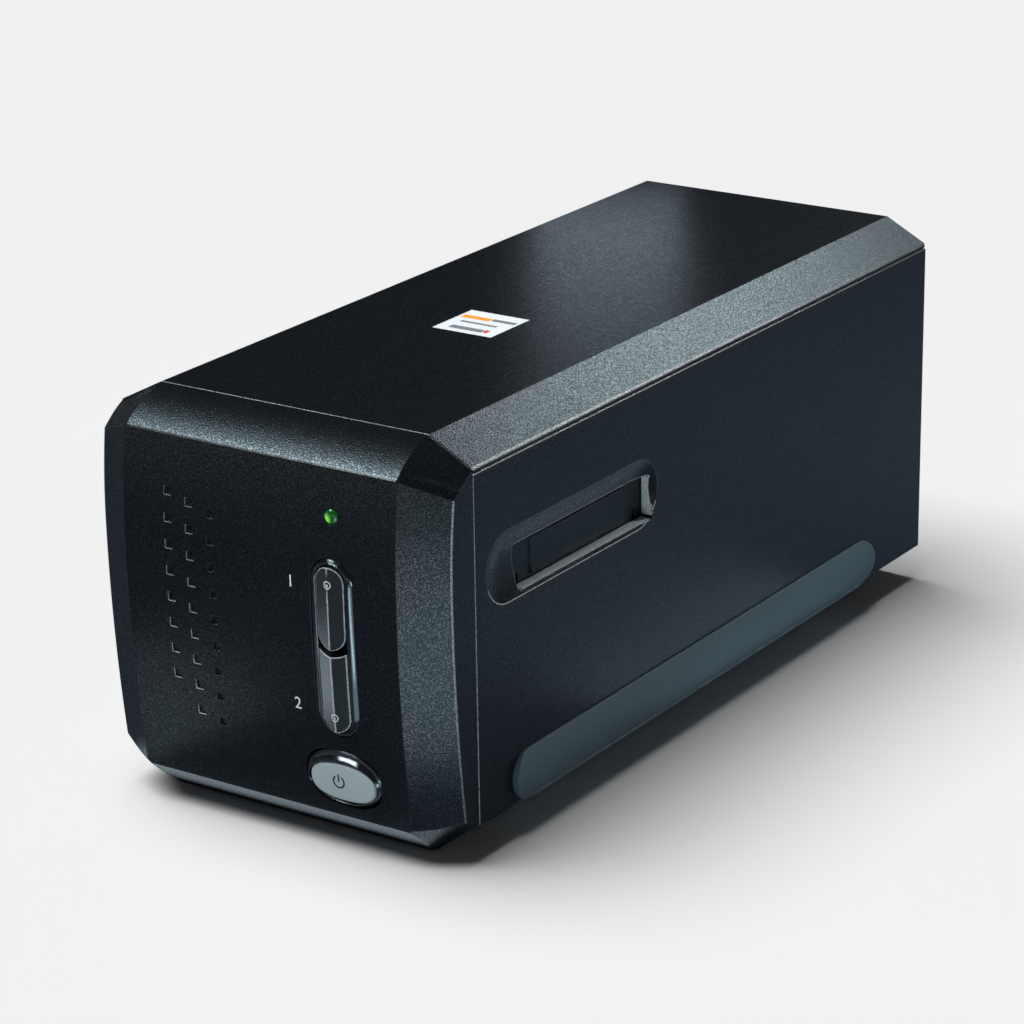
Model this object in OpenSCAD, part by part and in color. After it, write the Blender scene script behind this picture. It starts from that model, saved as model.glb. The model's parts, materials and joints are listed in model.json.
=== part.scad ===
// Film negative scanner: a desktop unit with a film tunnel across the housing,
// dust doors on both sides, scan keys and a power button on the front, and an
// optics carriage driven along two rods by a stepper motor and a lead screw.
// Width runs along X, depth along Y with the front at -Y, and the feet stand on Z = 0.

/* [Housing] */
// Width between the two side faces
body_w = 116; // [110:1:124]
// Depth from the front of the bezel to the rear panel
body_d = 270; // [262:1:290]
// Height from the table to the top
body_h = 119; // [116:1:126]
// Wall thickness of the mouldings
wall_t = 2.5; // [2:0.1:3]
// Width of the sloping corners, seen from the front
corner_w = 13.7; // [12:0.1:15]
// Drop of the sloping upper corners
corner_top_h = 7.1; // [5:0.1:9]
// Rise of the sloping lower corners
corner_low_h = 10.3; // [9:0.1:12]
// Height of the feet below the underside
foot_h = 1; // [0.6:0.1:2]
// Distance of the case joint below the upper corners
joint_drop = 1.2; // [0.8:0.1:2]
// Shadow gap between the case mouldings
joint_gap = 0.4; // [0.2:0.1:0.6]

/* [Bezel] */
// Depth of the bezel in front of the case
bezel_d = 17.4; // [16:0.1:19]
// Drop of the foremost line of the bezel below the top
crest_drop = 39; // [35:1:43]
// Radius of the front face above the crest
crest_upper_r = 205; // [180:1:300]
// Radius of the front face below the crest
crest_lower_r = 520; // [400:1:900]
// Width of the side bevels, seen from the front
bevel_w = 12.8; // [10:0.1:15]
// Depth of the side bevels
bevel_d = 7.1; // [5:0.1:9]
// Radius of the rounded brow over the front face
brow_r = 36; // [34:1:40]
// Height of the flat bevel under the front face
chin_h = 10; // [8:0.5:12]
// Depth of the flat bevel under the front face
chin_d = 11.6; // [9:0.1:13]
// Turn of the upper corner facets towards the sides, in degrees
facet_turn = 29; // [26:1:32]
// Pitch of the small square pits in the front face
pit_pitch = 7.6; // [7:0.1:8]
// Side of one square pit
pit_w = 2.3; // [1.5:0.1:3]

/* [Controls] */
// Room between the power button's ring and the scan keys' surround
ring_room = 4.15; // [3.5:0.05:5]
// Distance of the keys' centre line from the side face
keys_in = 33.6; // [31:0.1:36]
// Width of the surround around the scan keys
surround_w = 14.1; // [13:0.1:16]
// Room above and below the scan keys' surround, both together
keys_room = 13.3; // [12:0.1:15]
// Width of a scan key
key_w = 9; // [8:0.1:10]
// Height of the surround's rim above and below the scan keys
rim_h = 1.75; // [1.5:0.05:2.2]
// Distance that the scan keys stand in front of the bezel's crest
key_proud = 2; // [1:0.1:2.5]
// Travel of a scan key
key_travel = 0.8; // [0.5:0.1:1]
// Width of the power button's ring
ring_w = 25; // [23:0.1:27]
// Height of the power button's ring
ring_h = 16.9; // [16:0.1:18]
// Height of the middle of the power button's ring
ring_z = 22.4; // [21.5:0.1:23]
// Width of the power button
button_w = 21.5; // [20:0.1:22]
// Height of the power button
button_h = 11.2; // [10:0.1:12]
// Distance of the indicator below the top
led_drop = 21.2; // [19:0.1:25]
// Diameter of the indicator's lens
led_d = 4.5; // [3:0.1:5]

/* [Film slot] */
// Distance from the case front to the slot recess
slot_start = 5.5; // [5:0.1:8]
// Length of the slot recess
slot_len = 85.8; // [85.8:0.1:90]
// Height of the slot recess
slot_h = 20.4; // [20:0.1:22]
// Height of the slot recess's middle above the table
slot_z = 80.2; // [79:0.1:82]
// Depth of the scooped recess
scoop_d = 2.8; // [2:0.1:3]
// Length of the film window
window_len = 67; // [64:0.5:68]
// Height of the film window
window_h = 12.7; // [12.5:0.1:13.5]
// Height of the window's sill above the recess's lower edge
sill_h = 1.2; // [0.8:0.1:1.4]
// Distance of the window's rear end from the recess's rear end
window_back = 2.5; // [2:0.1:4]
// Depth of the doors behind the side faces
door_in = 4; // [3.9:0.1:4.4]
// Thickness of a dust door
door_t = 1.6; // [1.4:0.1:2]
// Diameter of the doors' hinge pins
pin_d = 1.4; // [1.2:0.1:1.6]

/* [Foot strips] */
// Distance from the case front to a foot strip
strip_start = 16.4; // [14:0.1:20]
// Length of a foot strip
strip_len = 203; // [180:1:210]
// Height of a strip on the side face
strip_h = 14; // [12:0.1:16]
// Distance that a strip stands out from the side face
strip_proud = 2; // [1:0.1:2.5]
// Depth of the seat that holds a strip
strip_seat = 1.2; // [0.8:0.1:1.4]

/* [Mechanism] */
// Diameter of the carriage's guide rods
rod_d = 6; // [5:0.5:7]
// Distance of the guide rods from the middle plane
rod_x = 37; // [36:0.5:38]
// Height of the guide rods
rod_z = 34; // [33:0.5:35]
// Diameter of the lead screw
screw_d = 5; // [4:0.5:6]
// Height of the lead screw
screw_z = 22; // [21.5:0.5:22.5]
// Travel of the carriage
carriage_travel = 26; // [20:1:28]
// Tooth size of the drive gears
gear_module = 0.6; // [0.55:0.01:0.62]
// Teeth on the lead screw's gear
screw_teeth = 48; // [45:3:51]
// Teeth on the motor's pinion
pinion_teeth = 16; // [15:1:17]
// Running clearance of a shaft in its hole
run_fit = 0.05; // [0.03:0.01:0.08]

/* [Hidden] */
$fn = 64;

// Driving planes, with the front of the scan keys and the rear panel equally far out
hw = body_w / 2;
rear_y = (body_d + key_proud) / 2;
crest_y = rear_y - body_d;
seam_y = crest_y + bezel_d;
base_z = foot_h;
crest_z = body_h - crest_drop;
side_lo = base_z + corner_low_h;
side_hi = body_h - corner_top_h;
joint_z = side_hi - joint_drop;
case_d = rear_y - seam_y;
seam_gap = 0.25;
seat_gap = 0.2;
press_gap = 0.02;

// Case
rear_edge_t = 1.1;
lip_t = 1.5;
lip_h = 4;
lip_root = 2.5;
floor_z = base_z + wall_t;
pad_z = floor_z + 2.5;
label_w = 20;
label_back = 90;
label_t = 0.2;
label_seat = 0.25;
rib_t = 1.6;
rib_h = 4;
rib_len = body_w - 40;
vent_len = 36;
vent_w = 2.5;
vent_pitch = 7;
vent_back = 70;
vent_count = 9;
foot_in = hw - 19.8;

// Bezel
seam_land = 0.3;
facet_dip = 15.9;
low_facet_turn = -9.1;
low_facet_dip = -39.1;
facet_step = 0.1;

// Film slot, measured from the case front
slot_r = slot_h / 2;
slot_end = slot_start + slot_len;
scoop_r = (slot_r * slot_r + scoop_d * scoop_d) / (2 * scoop_d);
window_end = slot_end - window_back;
window_start = window_end - window_len;
window_lo = slot_z - slot_r + sill_h;
window_hi = window_lo + window_h;
window_r = 1.2;
door_x = hw - door_in;
door_gap = 0.3;
rebate = 1;
stop_w = 1.2;
block_x = hw - 8;
knuckle_r = pin_d / 2 + 0.8;
hinge_x = door_x - knuckle_r;
right_hinge_z = window_hi + 1.3;
left_hinge_z = window_hi - 0.7;
pin_grip = 2.2;
panel_edge = 10.5;
panel_t = 0.5;

// Controls, on the front face
keys_x = hw - keys_in;
button_x = hw - 33.8;
button_z = ring_z - 1;
button_proud = 0.9;
button_travel = 1.2;
key_gap = 0.6;
key_fit = 0.25;
key_notch = 1.3;
key_crease = 1.5;
led_x = hw - 33.5;
led_z = body_h - led_drop;
surround_h = led_z - led_d / 2 - ring_z - ring_h / 2 - keys_room;
keys_z = ring_z + ring_h / 2 + ring_room + surround_h / 2;
key_h = (surround_h - key_gap) / 2 - rim_h - key_fit;
key_upper_z = keys_z + (key_gap + key_h) / 2;
key_lower_z = keys_z - (key_gap + key_h) / 2;
ring_proud = 0.7;
sleeve_y = crest_y + 6.6;
flange_t = 1.2;
flange_w = 1.1;
hold_gap = 0.15;
stem_r = 1.6;
stem_y = crest_y + 9.6;
led_proud = 0.6;
led_y = crest_y + 9;
pit_depth = 0.6;
pit_in = 28;
pit_drop = 23.8;
pit_step = 7.2;
pit_stagger = 2;
pit_count = 9;
board_y = seam_y - 2.9;
board_w = 33;
board_lo = base_z + 13;
board_hi = body_h - 14;
boss_z = [board_lo + 26, board_hi - 4];
boss_out = 12.2;
pcb_t = 1.6;

// Optics bay, measured from the case front
bulk_front_s = 8;
mech_room = 62.6;
bulk_rear_s = case_d - mech_room;
bulk_t = 4;
bulk_lo = floor_z + 10.5;
bulk_hi = bulk_lo + 50;
beam_h = 6;
screw_x = 32;
screw_post_r = 4;
film_z = window_lo - 0.4;
film_s = (window_start + window_end) / 2;
guide_t = 4.2;
guide_lo = film_z - guide_t;
guide_x = block_x - 0.4;
guide_edge = 2.8;
rail_x = 36;
rail_gap = 0.4;
ceiling_t = 3;
ceiling_z = film_z + 11;
column_s = 27;
column_w = 5;
gate_w = 38;
gate_len = carriage_travel + 4;
lamp_w = 48;
lamp_len = 40;
lamp_h = 14;
lamp_t = 2;

// Carriage
tray_w = 62;
tray_t = 2;
tray_lo = rod_z - 6;
tray_hi = guide_lo - 6.6;
slit_s = film_s - carriage_travel / 2;
tray_s = slit_s - 14;
end_room = 5.7;
tray_len = bulk_rear_s - end_room - carriage_travel - tray_s;
hood_len = 28;
optic_z = (tray_lo + tray_hi) / 2 + 2;
mirror_w = 44;
mirror_len = 26;
mirror_t = 2;
lens_r = 11;
lens_s = slit_s + 50;
lens_len = 34;
lug_len = 12;
lug_r = rod_d / 2 + 2.5;
beam_in = rod_x + lug_r + 0.5;
nut_s = tray_s + 30;
nut_len = 12;
nut_w = 14;
sensor_w = 44;
sensor_h = 8;

// Drive
screw_r = screw_d / 2;
bushing_t = 1.5;
gear_t = 5;
gear_s = bulk_rear_s + bulk_t + 1.5;
screw_pitch_r = gear_module * screw_teeth / 2;
pinion_pitch_r = gear_module * pinion_teeth / 2;
motor_z = screw_z + screw_pitch_r + pinion_pitch_r;
motor_r = 17.5;
motor_len = 20;
motor_ear = 21;
boss_r = 5;
sheet_t = 1.6;
bracket_s = gear_s + gear_t + 1.5;
bracket_w = 54;
bracket_h = 28;
shaft_r = 1.5;

// Rear
socket_z = 27;
jack_x = hw - 26;
jack_r = 4.2;
jack_w = 9.4;
jack_bore = 6.2;
usb_x = jack_x - 24;
usb_w = 12;
usb_h = 11;
can_x = -24;
can_r = 4;
can_h = 9;
panel_y = rear_y - wall_t;
main_board_y = panel_y - 14.5;
main_board_x = hw - 12;
main_board_z = [base_z + 12, body_h - 16];
standoff_x = hw - 18;
standoff_z = [main_board_z[0] + 7, main_board_z[1] - 7];
// Each part on the main board: its middle across and up, its width, height and thickness
chips = [[-12, 74, 20, 20, 1.6], [14, 76, 12, 12, 1.4], [-35, 38, 10, 16, 4], [35, 46, 14, 5, 5]];

// Inward shift of a corner's end beside a slope w wide and h deep, for a wall moved in by t
function corner_shift(w, h, t) = t * (sqrt(w * w + h * h) - w) / h;

// Points of the case's eight-sided section, with every side moved in by t
function case_points(t) =
    let (x_top = hw - corner_w - corner_shift(corner_w, corner_top_h, t))
    let (x_low = hw - corner_w - corner_shift(corner_w, corner_low_h, t))
    let (z_hi = side_hi - corner_shift(corner_top_h, corner_w, t))
    let (z_lo = side_lo + corner_shift(corner_low_h, corner_w, t))
    [[x_top, body_h - t], [hw - t, z_hi], [hw - t, z_lo], [x_low, base_z + t],
        [-x_low, base_z + t], [-hw + t, z_lo], [-hw + t, z_hi], [-x_top, body_h - t]];

// Involute of a gear with base radius b, as an angle at radius r
function involute(r, b) = let (a = acos(min(1, b / r))) tan(a) * 180 / PI - a;

// Half the angle that a tooth takes at radius r, on a gear of n teeth and module m
function tooth_half(r, n, m) =
    let (p = m * n / 2, b = p * cos(20), play = 8 / n)
    90 / n - play + involute(p, b) - involute(max(r, b), b);

// Outline of a spur gear with n teeth of module m, with a tooth at the angle turn
function gear_points(n, m, turn) =
    let (root = m * (n / 2 - 1.25), tip = m * (n / 2 + 1), steps = 5)
    [for (i = [0 : n - 1], side = [-1, 1], k = [0 : steps])
        let (f = side < 0 ? k / steps : 1 - k / steps)
        let (r = root + (tip - root) * f, a = turn + i * 360 / n + side * tooth_half(r, n, m))
        [r * cos(a), r * sin(a)]];

// A block between two corners
module block(x, y, z) {
    translate([x[0], y[0], z[0]]) cube([x[1] - x[0], y[1] - y[0], z[1] - z[0]]);
}

// A block whose depth is measured back from the case front
module case_block(x, s, z) {
    block(x, [seam_y + s[0], seam_y + s[1]], z);
}

// A flat outline in X and Z, drawn out from depth y0 to y1
module along_y(y0, y1) {
    translate([0, y1, 0]) rotate([90, 0, 0]) linear_extrude(y1 - y0) children();
}

// A flat outline in Y and Z, drawn out from x0 to x1
module along_x(x0, x1) {
    translate([x0, 0, 0]) rotate([90, 0, 90]) linear_extrude(x1 - x0) children();
}

// A round bar along Y
module bar_y(x, z, r, y0, y1) {
    translate([x, y1, z]) rotate([90, 0, 0]) cylinder(r = r, h = y1 - y0);
}

// A round bar along Z
module bar_z(x, y, r, z0, z1) {
    translate([x, y, z0]) cylinder(r = r, h = z1 - z0);
}

// The same piece on both sides
module both_sides() {
    children();
    mirror([1, 0, 0]) children();
}

// An upright pill with round ends: its middle, width and height
module pill(x, z, w, h) {
    for (side = [-1, 1])
        translate([x, z + side * (h - w) / 2]) circle(d = w);
    translate([x - w / 2, z - (h - w) / 2]) square([w, h - w]);
}

// A lying pill in Y and Z between two depths and two heights
module lying_pill(s, z) {
    r = (z[1] - z[0]) / 2;
    for (end = [s[0] + r, s[1] - r])
        translate([seam_y + end, z[0] + r]) circle(r = r);
    translate([seam_y + s[0] + r, z[0]]) square([s[1] - s[0] - 2 * r, 2 * r]);
}

// A rectangle with rounded corners in Y and Z between two depths and two heights
module rounded_window(s, z, r) {
    for (end = [s[0] + r, s[1] - r], level = [z[0] + r, z[1] - r])
        translate([seam_y + end, level]) circle(r = r, $fn = 32);
    translate([seam_y + s[0] + r, z[0]]) square([s[1] - s[0] - 2 * r, z[1] - z[0]]);
    translate([seam_y + s[0], z[0] + r]) square([s[1] - s[0], z[1] - z[0] - 2 * r]);
}

// A lying oval with full ends: its middle and half axes
module oval(x, z, a, b) {
    full = 2 / 2.5;
    function bow(c) = sign(c) * pow(abs(c), full);
    translate([x, z])
        polygon([for (i = [0 : 71]) [a * bow(cos(i * 5)), b * bow(sin(i * 5))]]);
}

// The case's section, with every side moved in by t
module case_section(t) {
    polygon(case_points(t));
}

// A turned drum of radius r whose rim is the front face and whose ends are the side bevels
module crest_drum(t, r) {
    slope = bevel_d / bevel_w;
    shoulder = hw - bevel_w - corner_shift(bevel_w, bevel_d, t);
    over = 3;
    end_r = r - bevel_d - slope * over - t * sqrt(1 + slope * slope);
    core_r = r - 60;
    translate([0, crest_y + r, crest_z]) rotate([0, 90, 0]) rotate_extrude($fn = 360)
        polygon([[core_r, -hw - over], [end_r, -hw - over], [r - t, -shoulder],
            [r - t, shoulder], [end_r, hw + over], [core_r, hw + over]]);
}

// The crowned front with its side bevels, moved in by t
module crest_form(t) {
    intersection() {
        crest_drum(t, crest_upper_r);
        block([-hw - 2, hw + 2], [crest_y - 3, seam_y + 9], [crest_z, body_h + 2]);
    }
    intersection() {
        crest_drum(t, crest_lower_r);
        block([-hw - 2, hw + 2], [crest_y - 3, seam_y + 9], [-2, crest_z]);
    }
}

// A corner facet's drum on the right: it has the brow's radius and touches the slope's front end,
// which is w wide and drops by h from the height z. The drum is turned and dips towards the side.
module facet_drum(w, h, z, turn, dip, t) {
    slope = [w, 0, -h];
    run = [cos(dip) * cos(turn), cos(dip) * sin(turn), -sin(dip)];
    out = cross(slope, run) / norm(cross(slope, run));
    middle = [hw - w / 2, seam_y - seam_land, z - h / 2];
    translate(middle - (brow_r + facet_step) * out) rotate([0, dip, turn]) rotate([0, 90, 0])
        cylinder(r = brow_r - t, h = 2 * body_w, center = true, $fn = 180);
}

// What lies outside the brow, the chin and the four corner facets, moved in by t
module bezel_cuts(t) {
    over = 30;
    start_y = seam_y - seam_land;
    brow_y = start_y + brow_r * sin(15);
    brow_z = body_h - brow_r * cos(15);
    inner_x = hw - corner_w - 14;
    difference() {
        block([-hw - 1, hw + 1], [crest_y - 9, seam_y], [body_h - 18, body_h + 9]);
        translate([-hw - 2, brow_y, brow_z]) rotate([0, 90, 0])
            cylinder(r = brow_r - t, h = body_w + 4, $fn = 180);
    }
    translate([0, seam_y - 1.5, base_z]) rotate([-atan(chin_h / chin_d), 0, 0])
        block([-hw - 1, hw + 1], [-over, over], [-over, t]);
    both_sides() {
        difference() {
            block([inner_x, hw + 1], [crest_y - 9, start_y], [side_hi - 9, body_h + 9]);
            facet_drum(corner_w, corner_top_h, body_h, facet_turn, facet_dip, t);
        }
        difference() {
            block([inner_x, hw + 1], [crest_y - 9, start_y], [base_z - 9, side_lo + 6]);
            facet_drum(corner_w, -corner_low_h, base_z, low_facet_turn, low_facet_dip, t);
        }
    }
}

// The whole bezel as a solid, moved in by t
module bezel_form(t) {
    difference() {
        intersection() {
            along_y(crest_y - 1, seam_y) case_section(t);
            crest_form(t);
        }
        bezel_cuts(t);
    }
}

// The small square pits, in three staggered columns, the first one pit shorter
module front_pits() {
    intersection() {
        for (col = [0 : 2], i = [0 : pit_count - (col == 0 ? 2 : 1)])
            translate([-hw + pit_in + col * pit_step, crest_y,
                body_h - pit_drop - col * pit_stagger - i * pit_pitch])
                cube([pit_w, 9, pit_w], center = true);
        difference() {
            crest_form(-1);
            crest_form(pit_depth);
        }
    }
}

// Crowned bezel with its openings, pits, board bosses and the lip that enters the case
module front_bezel() {
    color("#1c2024") {
        difference() {
            bezel_form(0);
            difference() {
                bezel_form(wall_t);
                for (z = boss_z, side = [-1, 1])
                    bar_y(button_x + side * boss_out, z, 3, crest_y, board_y);
            }
            along_y(crest_y - 9, seam_y) pill(keys_x, keys_z, surround_w, surround_h);
            along_y(crest_y - 9, seam_y)
                oval(button_x, ring_z, ring_w / 2, ring_h / 2);
            bar_y(led_x, led_z, led_d / 2 + press_gap, crest_y - 9, seam_y);
            front_pits();
        }
        difference() {
            union() {
                along_y(seam_y - lip_root, seam_y) case_section(wall_t - 0.4);
                along_y(seam_y - lip_root, seam_y + lip_h) case_section(wall_t + seat_gap);
            }
            along_y(seam_y - 9, seam_y + 9) case_section(wall_t + seat_gap + lip_t);
        }
    }
}

// The hollow case between the bezel and the rear panel
module case_shell() {
    difference() {
        along_y(seam_y + seam_gap, rear_y) case_section(0);
        along_y(seam_y, rear_y + 1) case_section(wall_t);
        along_y(panel_y, rear_y + 1) case_section(rear_edge_t);
    }
}

// Roof and upper corners, with side lips, ribs and a shallow seat for the label
module top_cover() {
    lip_x = hw - wall_t - seat_gap;
    lip_s = lip_h + 1;
    color("#20262b") {
        difference() {
            case_shell();
            block([-hw - 1, hw + 1], [seam_y, rear_y + 1], [-1, joint_z + joint_gap / 2]);
            translate([0, seam_y + label_back, body_h])
                cube([label_w + 0.4, label_w + 0.4, 2 * label_seat], center = true);
        }
        both_sides()
            block([lip_x - lip_t, lip_x], [seam_y + lip_s, panel_y - 1],
                [joint_z - lip_h, joint_z + 2]);
        for (f = [0.2, 0.5, 0.8])
            case_block([-rib_len / 2, rib_len / 2], [f * case_d, f * case_d + rib_t],
                [body_h - wall_t - rib_h, body_h - wall_t + 0.2]);
    }
}

// The scooped recess of a film slot, on the right-hand side
module scoop() {
    x = hw - scoop_d + scoop_r;
    for (s = [slot_start + slot_r, slot_end - slot_r])
        translate([x, seam_y + s, slot_z]) sphere(r = scoop_r, $fn = 96);
    translate([x, seam_y + slot_end - slot_r, slot_z]) rotate([90, 0, 0])
        cylinder(r = scoop_r, h = slot_len - slot_h, $fn = 96);
}

// The thickened wall behind a film slot, on the right-hand side
module slot_block() {
    edge = rebate + pin_grip + 0.6;
    along_x(block_x, hw - wall_t + 0.3) {
        lying_pill([slot_start, slot_end], [slot_z - slot_r, slot_z + slot_r]);
        translate([seam_y + window_start - edge, window_lo - 3])
            square([window_len + 2 * edge, window_h + 7.5]);
    }
}

// The way through the right-hand wall, with a rebate behind it that stops the door
module right_window() {
    along_x(door_x + door_gap, hw + 1)
        rounded_window([window_start, window_end], [window_lo, window_hi], window_r);
    case_block([block_x - 1, door_x + door_gap], [window_start - rebate, window_end + rebate],
        [window_lo - 0.5, right_hinge_z + knuckle_r + 0.5]);
}

// The way through the left-hand wall, with stops on its inner side, drawn on the right
module left_window() {
    stop_x = door_x - door_t - door_gap;
    knuckle_lo = left_hinge_z - knuckle_r - 0.3;
    top = left_hinge_z + knuckle_r + 0.3;
    case_block([stop_x, hw + 1], [window_start, window_end], [window_lo, top]);
    case_block([block_x - 1, hw], [window_start, window_end], [knuckle_lo, top]);
    case_block([block_x - 1, hw], [window_start + stop_w, window_end - stop_w],
        [window_lo, knuckle_lo + 1]);
}

// A door's hinge pin, grown by the clearance fit
module hinge_pin(z, fit) {
    bar_y(hinge_x, z, pin_d / 2 + fit, seam_y + window_start - rebate - pin_grip,
        seam_y + window_end + rebate + pin_grip);
}

// The section of a foot strip: a bulged pad on the side and a band round the lower corner
module strip_section() {
    bulge_r = 18;
    mid_z = side_lo + strip_h / 2;
    intersection() {
        translate([hw + strip_proud - bulge_r, mid_z]) circle(r = bulge_r);
        translate([hw - strip_seat, side_lo - 0.8]) square([9, strip_h + 0.8]);
    }
}

// The band of a foot strip that lies on the lower corner and ends in the foot
module band_section(edge) {
    intersection() {
        difference() {
            case_section(-foot_h);
            case_section(strip_seat);
        }
        translate([foot_in + edge, -1]) square([hw, side_lo + 1]);
    }
}

// A right-hand foot strip
module foot_strip() {
    top = side_lo + strip_h;
    end = strip_start + strip_len;
    intersection() {
        along_y(seam_y + strip_start - 1, seam_y + end + 1) strip_section();
        along_x(hw - 9, hw + 9) lying_pill([strip_start, end], [side_lo - 0.8, top]);
    }
    along_y(seam_y + strip_start + 8, seam_y + end - 8) band_section(0);
}

// The seat of a right-hand foot strip
module strip_seat_cut() {
    gap = 0.15;
    top = side_lo + strip_h;
    end = strip_start + strip_len;
    along_x(hw - strip_seat, hw + 9)
        lying_pill([strip_start - gap, end + gap], [side_lo - 0.8 - gap, top + gap]);
    along_y(seam_y + strip_start + 8 - gap, seam_y + end - 8 + gap) band_section(-gap);
}

// Places of the case screws
screw_places = [for (side = [-1, 1], s = [bulk_front_s + 4, bulk_rear_s]) [side * screw_x, seam_y + s]];

// Lower housing with both film slots, strip seats, screw pads and floor vents
module lower_case() {
    color("#1e242c")
        difference() {
            union() {
                difference() {
                    case_shell();
                    block([-hw - 1, hw + 1], [seam_y, rear_y + 1],
                        [joint_z - joint_gap / 2, body_h + 1]);
                }
                both_sides() slot_block();
                for (p = screw_places)
                    bar_z(p[0], p[1], screw_post_r + 1, floor_z - 0.5, pad_z);
            }
            both_sides() scoop();
            right_window();
            mirror([1, 0, 0]) left_window();
            hinge_pin(right_hinge_z, press_gap);
            mirror([1, 0, 0]) hinge_pin(left_hinge_z, press_gap);
            both_sides() strip_seat_cut();
            for (p = screw_places) {
                bar_z(p[0], p[1], 1.7, base_z - 1, pad_z + 1);
                bar_z(p[0], p[1], 3.2, base_z - 1, base_z + 2.2);
            }
            for (i = [0 : vent_count - 1])
                case_block([-vent_len / 2, vent_len / 2],
                    [vent_back + i * vent_pitch, vent_back + i * vent_pitch + vent_w],
                    [base_z - 1, floor_z + 1]);
        }
}

// Rear panel with the socket openings and the standoffs of the main board
module rear_panel() {
    color("#1e242c")
        difference() {
            union() {
                along_y(panel_y, rear_y - 0.2) case_section(rear_edge_t + 0.1);
                for (z = standoff_z, side = [-1, 1])
                    bar_y(side * standoff_x, z, 3, main_board_y, panel_y);
            }
            bar_y(jack_x, socket_z, jack_r + seat_gap / 2, panel_y - 1, rear_y + 1);
            along_y(panel_y - 1, rear_y + 1) translate([usb_x, socket_z])
                square([usb_w + 2 * seat_gap, usb_h + 2 * seat_gap], center = true);
        }
}

module strip_right() {
    color("#39444a") foot_strip();
}

module strip_left() {
    color("#39444a") mirror([1, 0, 0]) foot_strip();
}

// Right-hand dust door: it swings inwards, and the rebate stops it when closed
module door_right() {
    lo = window_lo - 0.1;
    start = window_start - rebate + 0.4;
    end = window_end + rebate - 0.4;
    color("#23272c")
        difference() {
            union() {
                case_block([door_x - door_t, door_x], [start, end], [lo, right_hinge_z]);
                bar_y(hinge_x, right_hinge_z, knuckle_r, seam_y + start, seam_y + end);
                case_block([door_x - 0.1, door_x + panel_t],
                    [window_start + panel_edge, window_end - panel_edge],
                    [window_lo + 1, window_hi - 1.4]);
            }
            hinge_pin(right_hinge_z, run_fit);
            for (s = [window_start + 3.4, window_end - 4.4])
                case_block([door_x - door_t - 1, door_x + 1], [s, s + 1], [lo - 1, window_lo + 3.2]);
        }
}

// Left-hand dust door: it swings outwards, and the stops hold it when closed
module door_left() {
    lo = window_lo + 0.4;
    start = window_start + 0.4;
    end = window_end - 0.4;
    color("#23272c")
        mirror([1, 0, 0])
            difference() {
                union() {
                    case_block([door_x - door_t, door_x], [start, end], [lo, left_hinge_z]);
                    bar_y(hinge_x, left_hinge_z, knuckle_r, seam_y + start, seam_y + end);
                    case_block([door_x - 0.1, door_x + panel_t],
                        [window_start + panel_edge, window_end - panel_edge],
                        [window_lo + 1, left_hinge_z - knuckle_r - 0.3]);
                }
                hinge_pin(left_hinge_z, run_fit);
                for (s = [window_start + 3.4, window_end - 4.4])
                    case_block([door_x - door_t - 1, door_x + 1], [s, s + 1],
                        [lo - 1, window_lo + 3.2]);
            }
}

module door_pins() {
    color("silver") {
        hinge_pin(right_hinge_z, 0);
        mirror([1, 0, 0]) hinge_pin(left_hinge_z, 0);
    }
}

// Glossy surround of the scan keys, with a flange behind the bezel's wall
module key_surround() {
    inner_h = 2 * key_h + key_gap + 2 * key_fit;
    color("#0c0d0f")
        difference() {
            union() {
                intersection() {
                    along_y(crest_y - 3, sleeve_y)
                        pill(keys_x, keys_z, surround_w - 2 * press_gap, surround_h - 2 * press_gap);
                    crest_form(-ring_proud);
                }
                intersection() {
                    along_y(crest_y, sleeve_y)
                        pill(keys_x, keys_z, surround_w + 2 * flange_w, surround_h + 2 * flange_w);
                    difference() {
                        crest_form(wall_t);
                        crest_form(wall_t + flange_t);
                    }
                }
            }
            along_y(crest_y - 4, sleeve_y + 1)
                pill(keys_x, keys_z, key_w + 2 * key_fit, inner_h);
        }
}

// The creased front of the scan keys, which follows the crowned front of the bezel
module key_front() {
    half = key_w / 2 + 1;
    for (part = [[crest_upper_r, [crest_z, body_h]], [crest_lower_r, [0, crest_z]]]) {
        core_r = part[0] - 20;
        front_r = part[0] + key_proud;
        intersection() {
            translate([0, crest_y + part[0], crest_z]) rotate([0, 90, 0])
                rotate_extrude($fn = 360)
                    polygon([[core_r, keys_x - half], [front_r - key_crease, keys_x - half],
                        [front_r, keys_x], [front_r - key_crease, keys_x + half],
                        [core_r, keys_x + half]]);
            block([keys_x - half - 1, keys_x + half + 1], [crest_y - 3, sleeve_y + 9], part[1]);
        }
    }
}

// What holds a scan key in the surround and reaches its switch
module key_tail(z) {
    back = sleeve_y + hold_gap + flange_t;
    block([keys_x - key_w / 2 - flange_w, keys_x + key_w / 2 + flange_w],
        [sleeve_y + hold_gap, back], [z - key_h / 4, z + key_h / 4]);
    bar_y(keys_x, z, stem_r, back - 0.5, stem_y);
}

// Upper scan key, round at both ends
module scan_key_upper() {
    color("#8b9296") {
        intersection() {
            along_y(crest_y - key_proud, sleeve_y + hold_gap + flange_t)
                pill(keys_x, key_upper_z, key_w, key_h);
            key_front();
        }
        key_tail(key_upper_z);
    }
}

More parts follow.
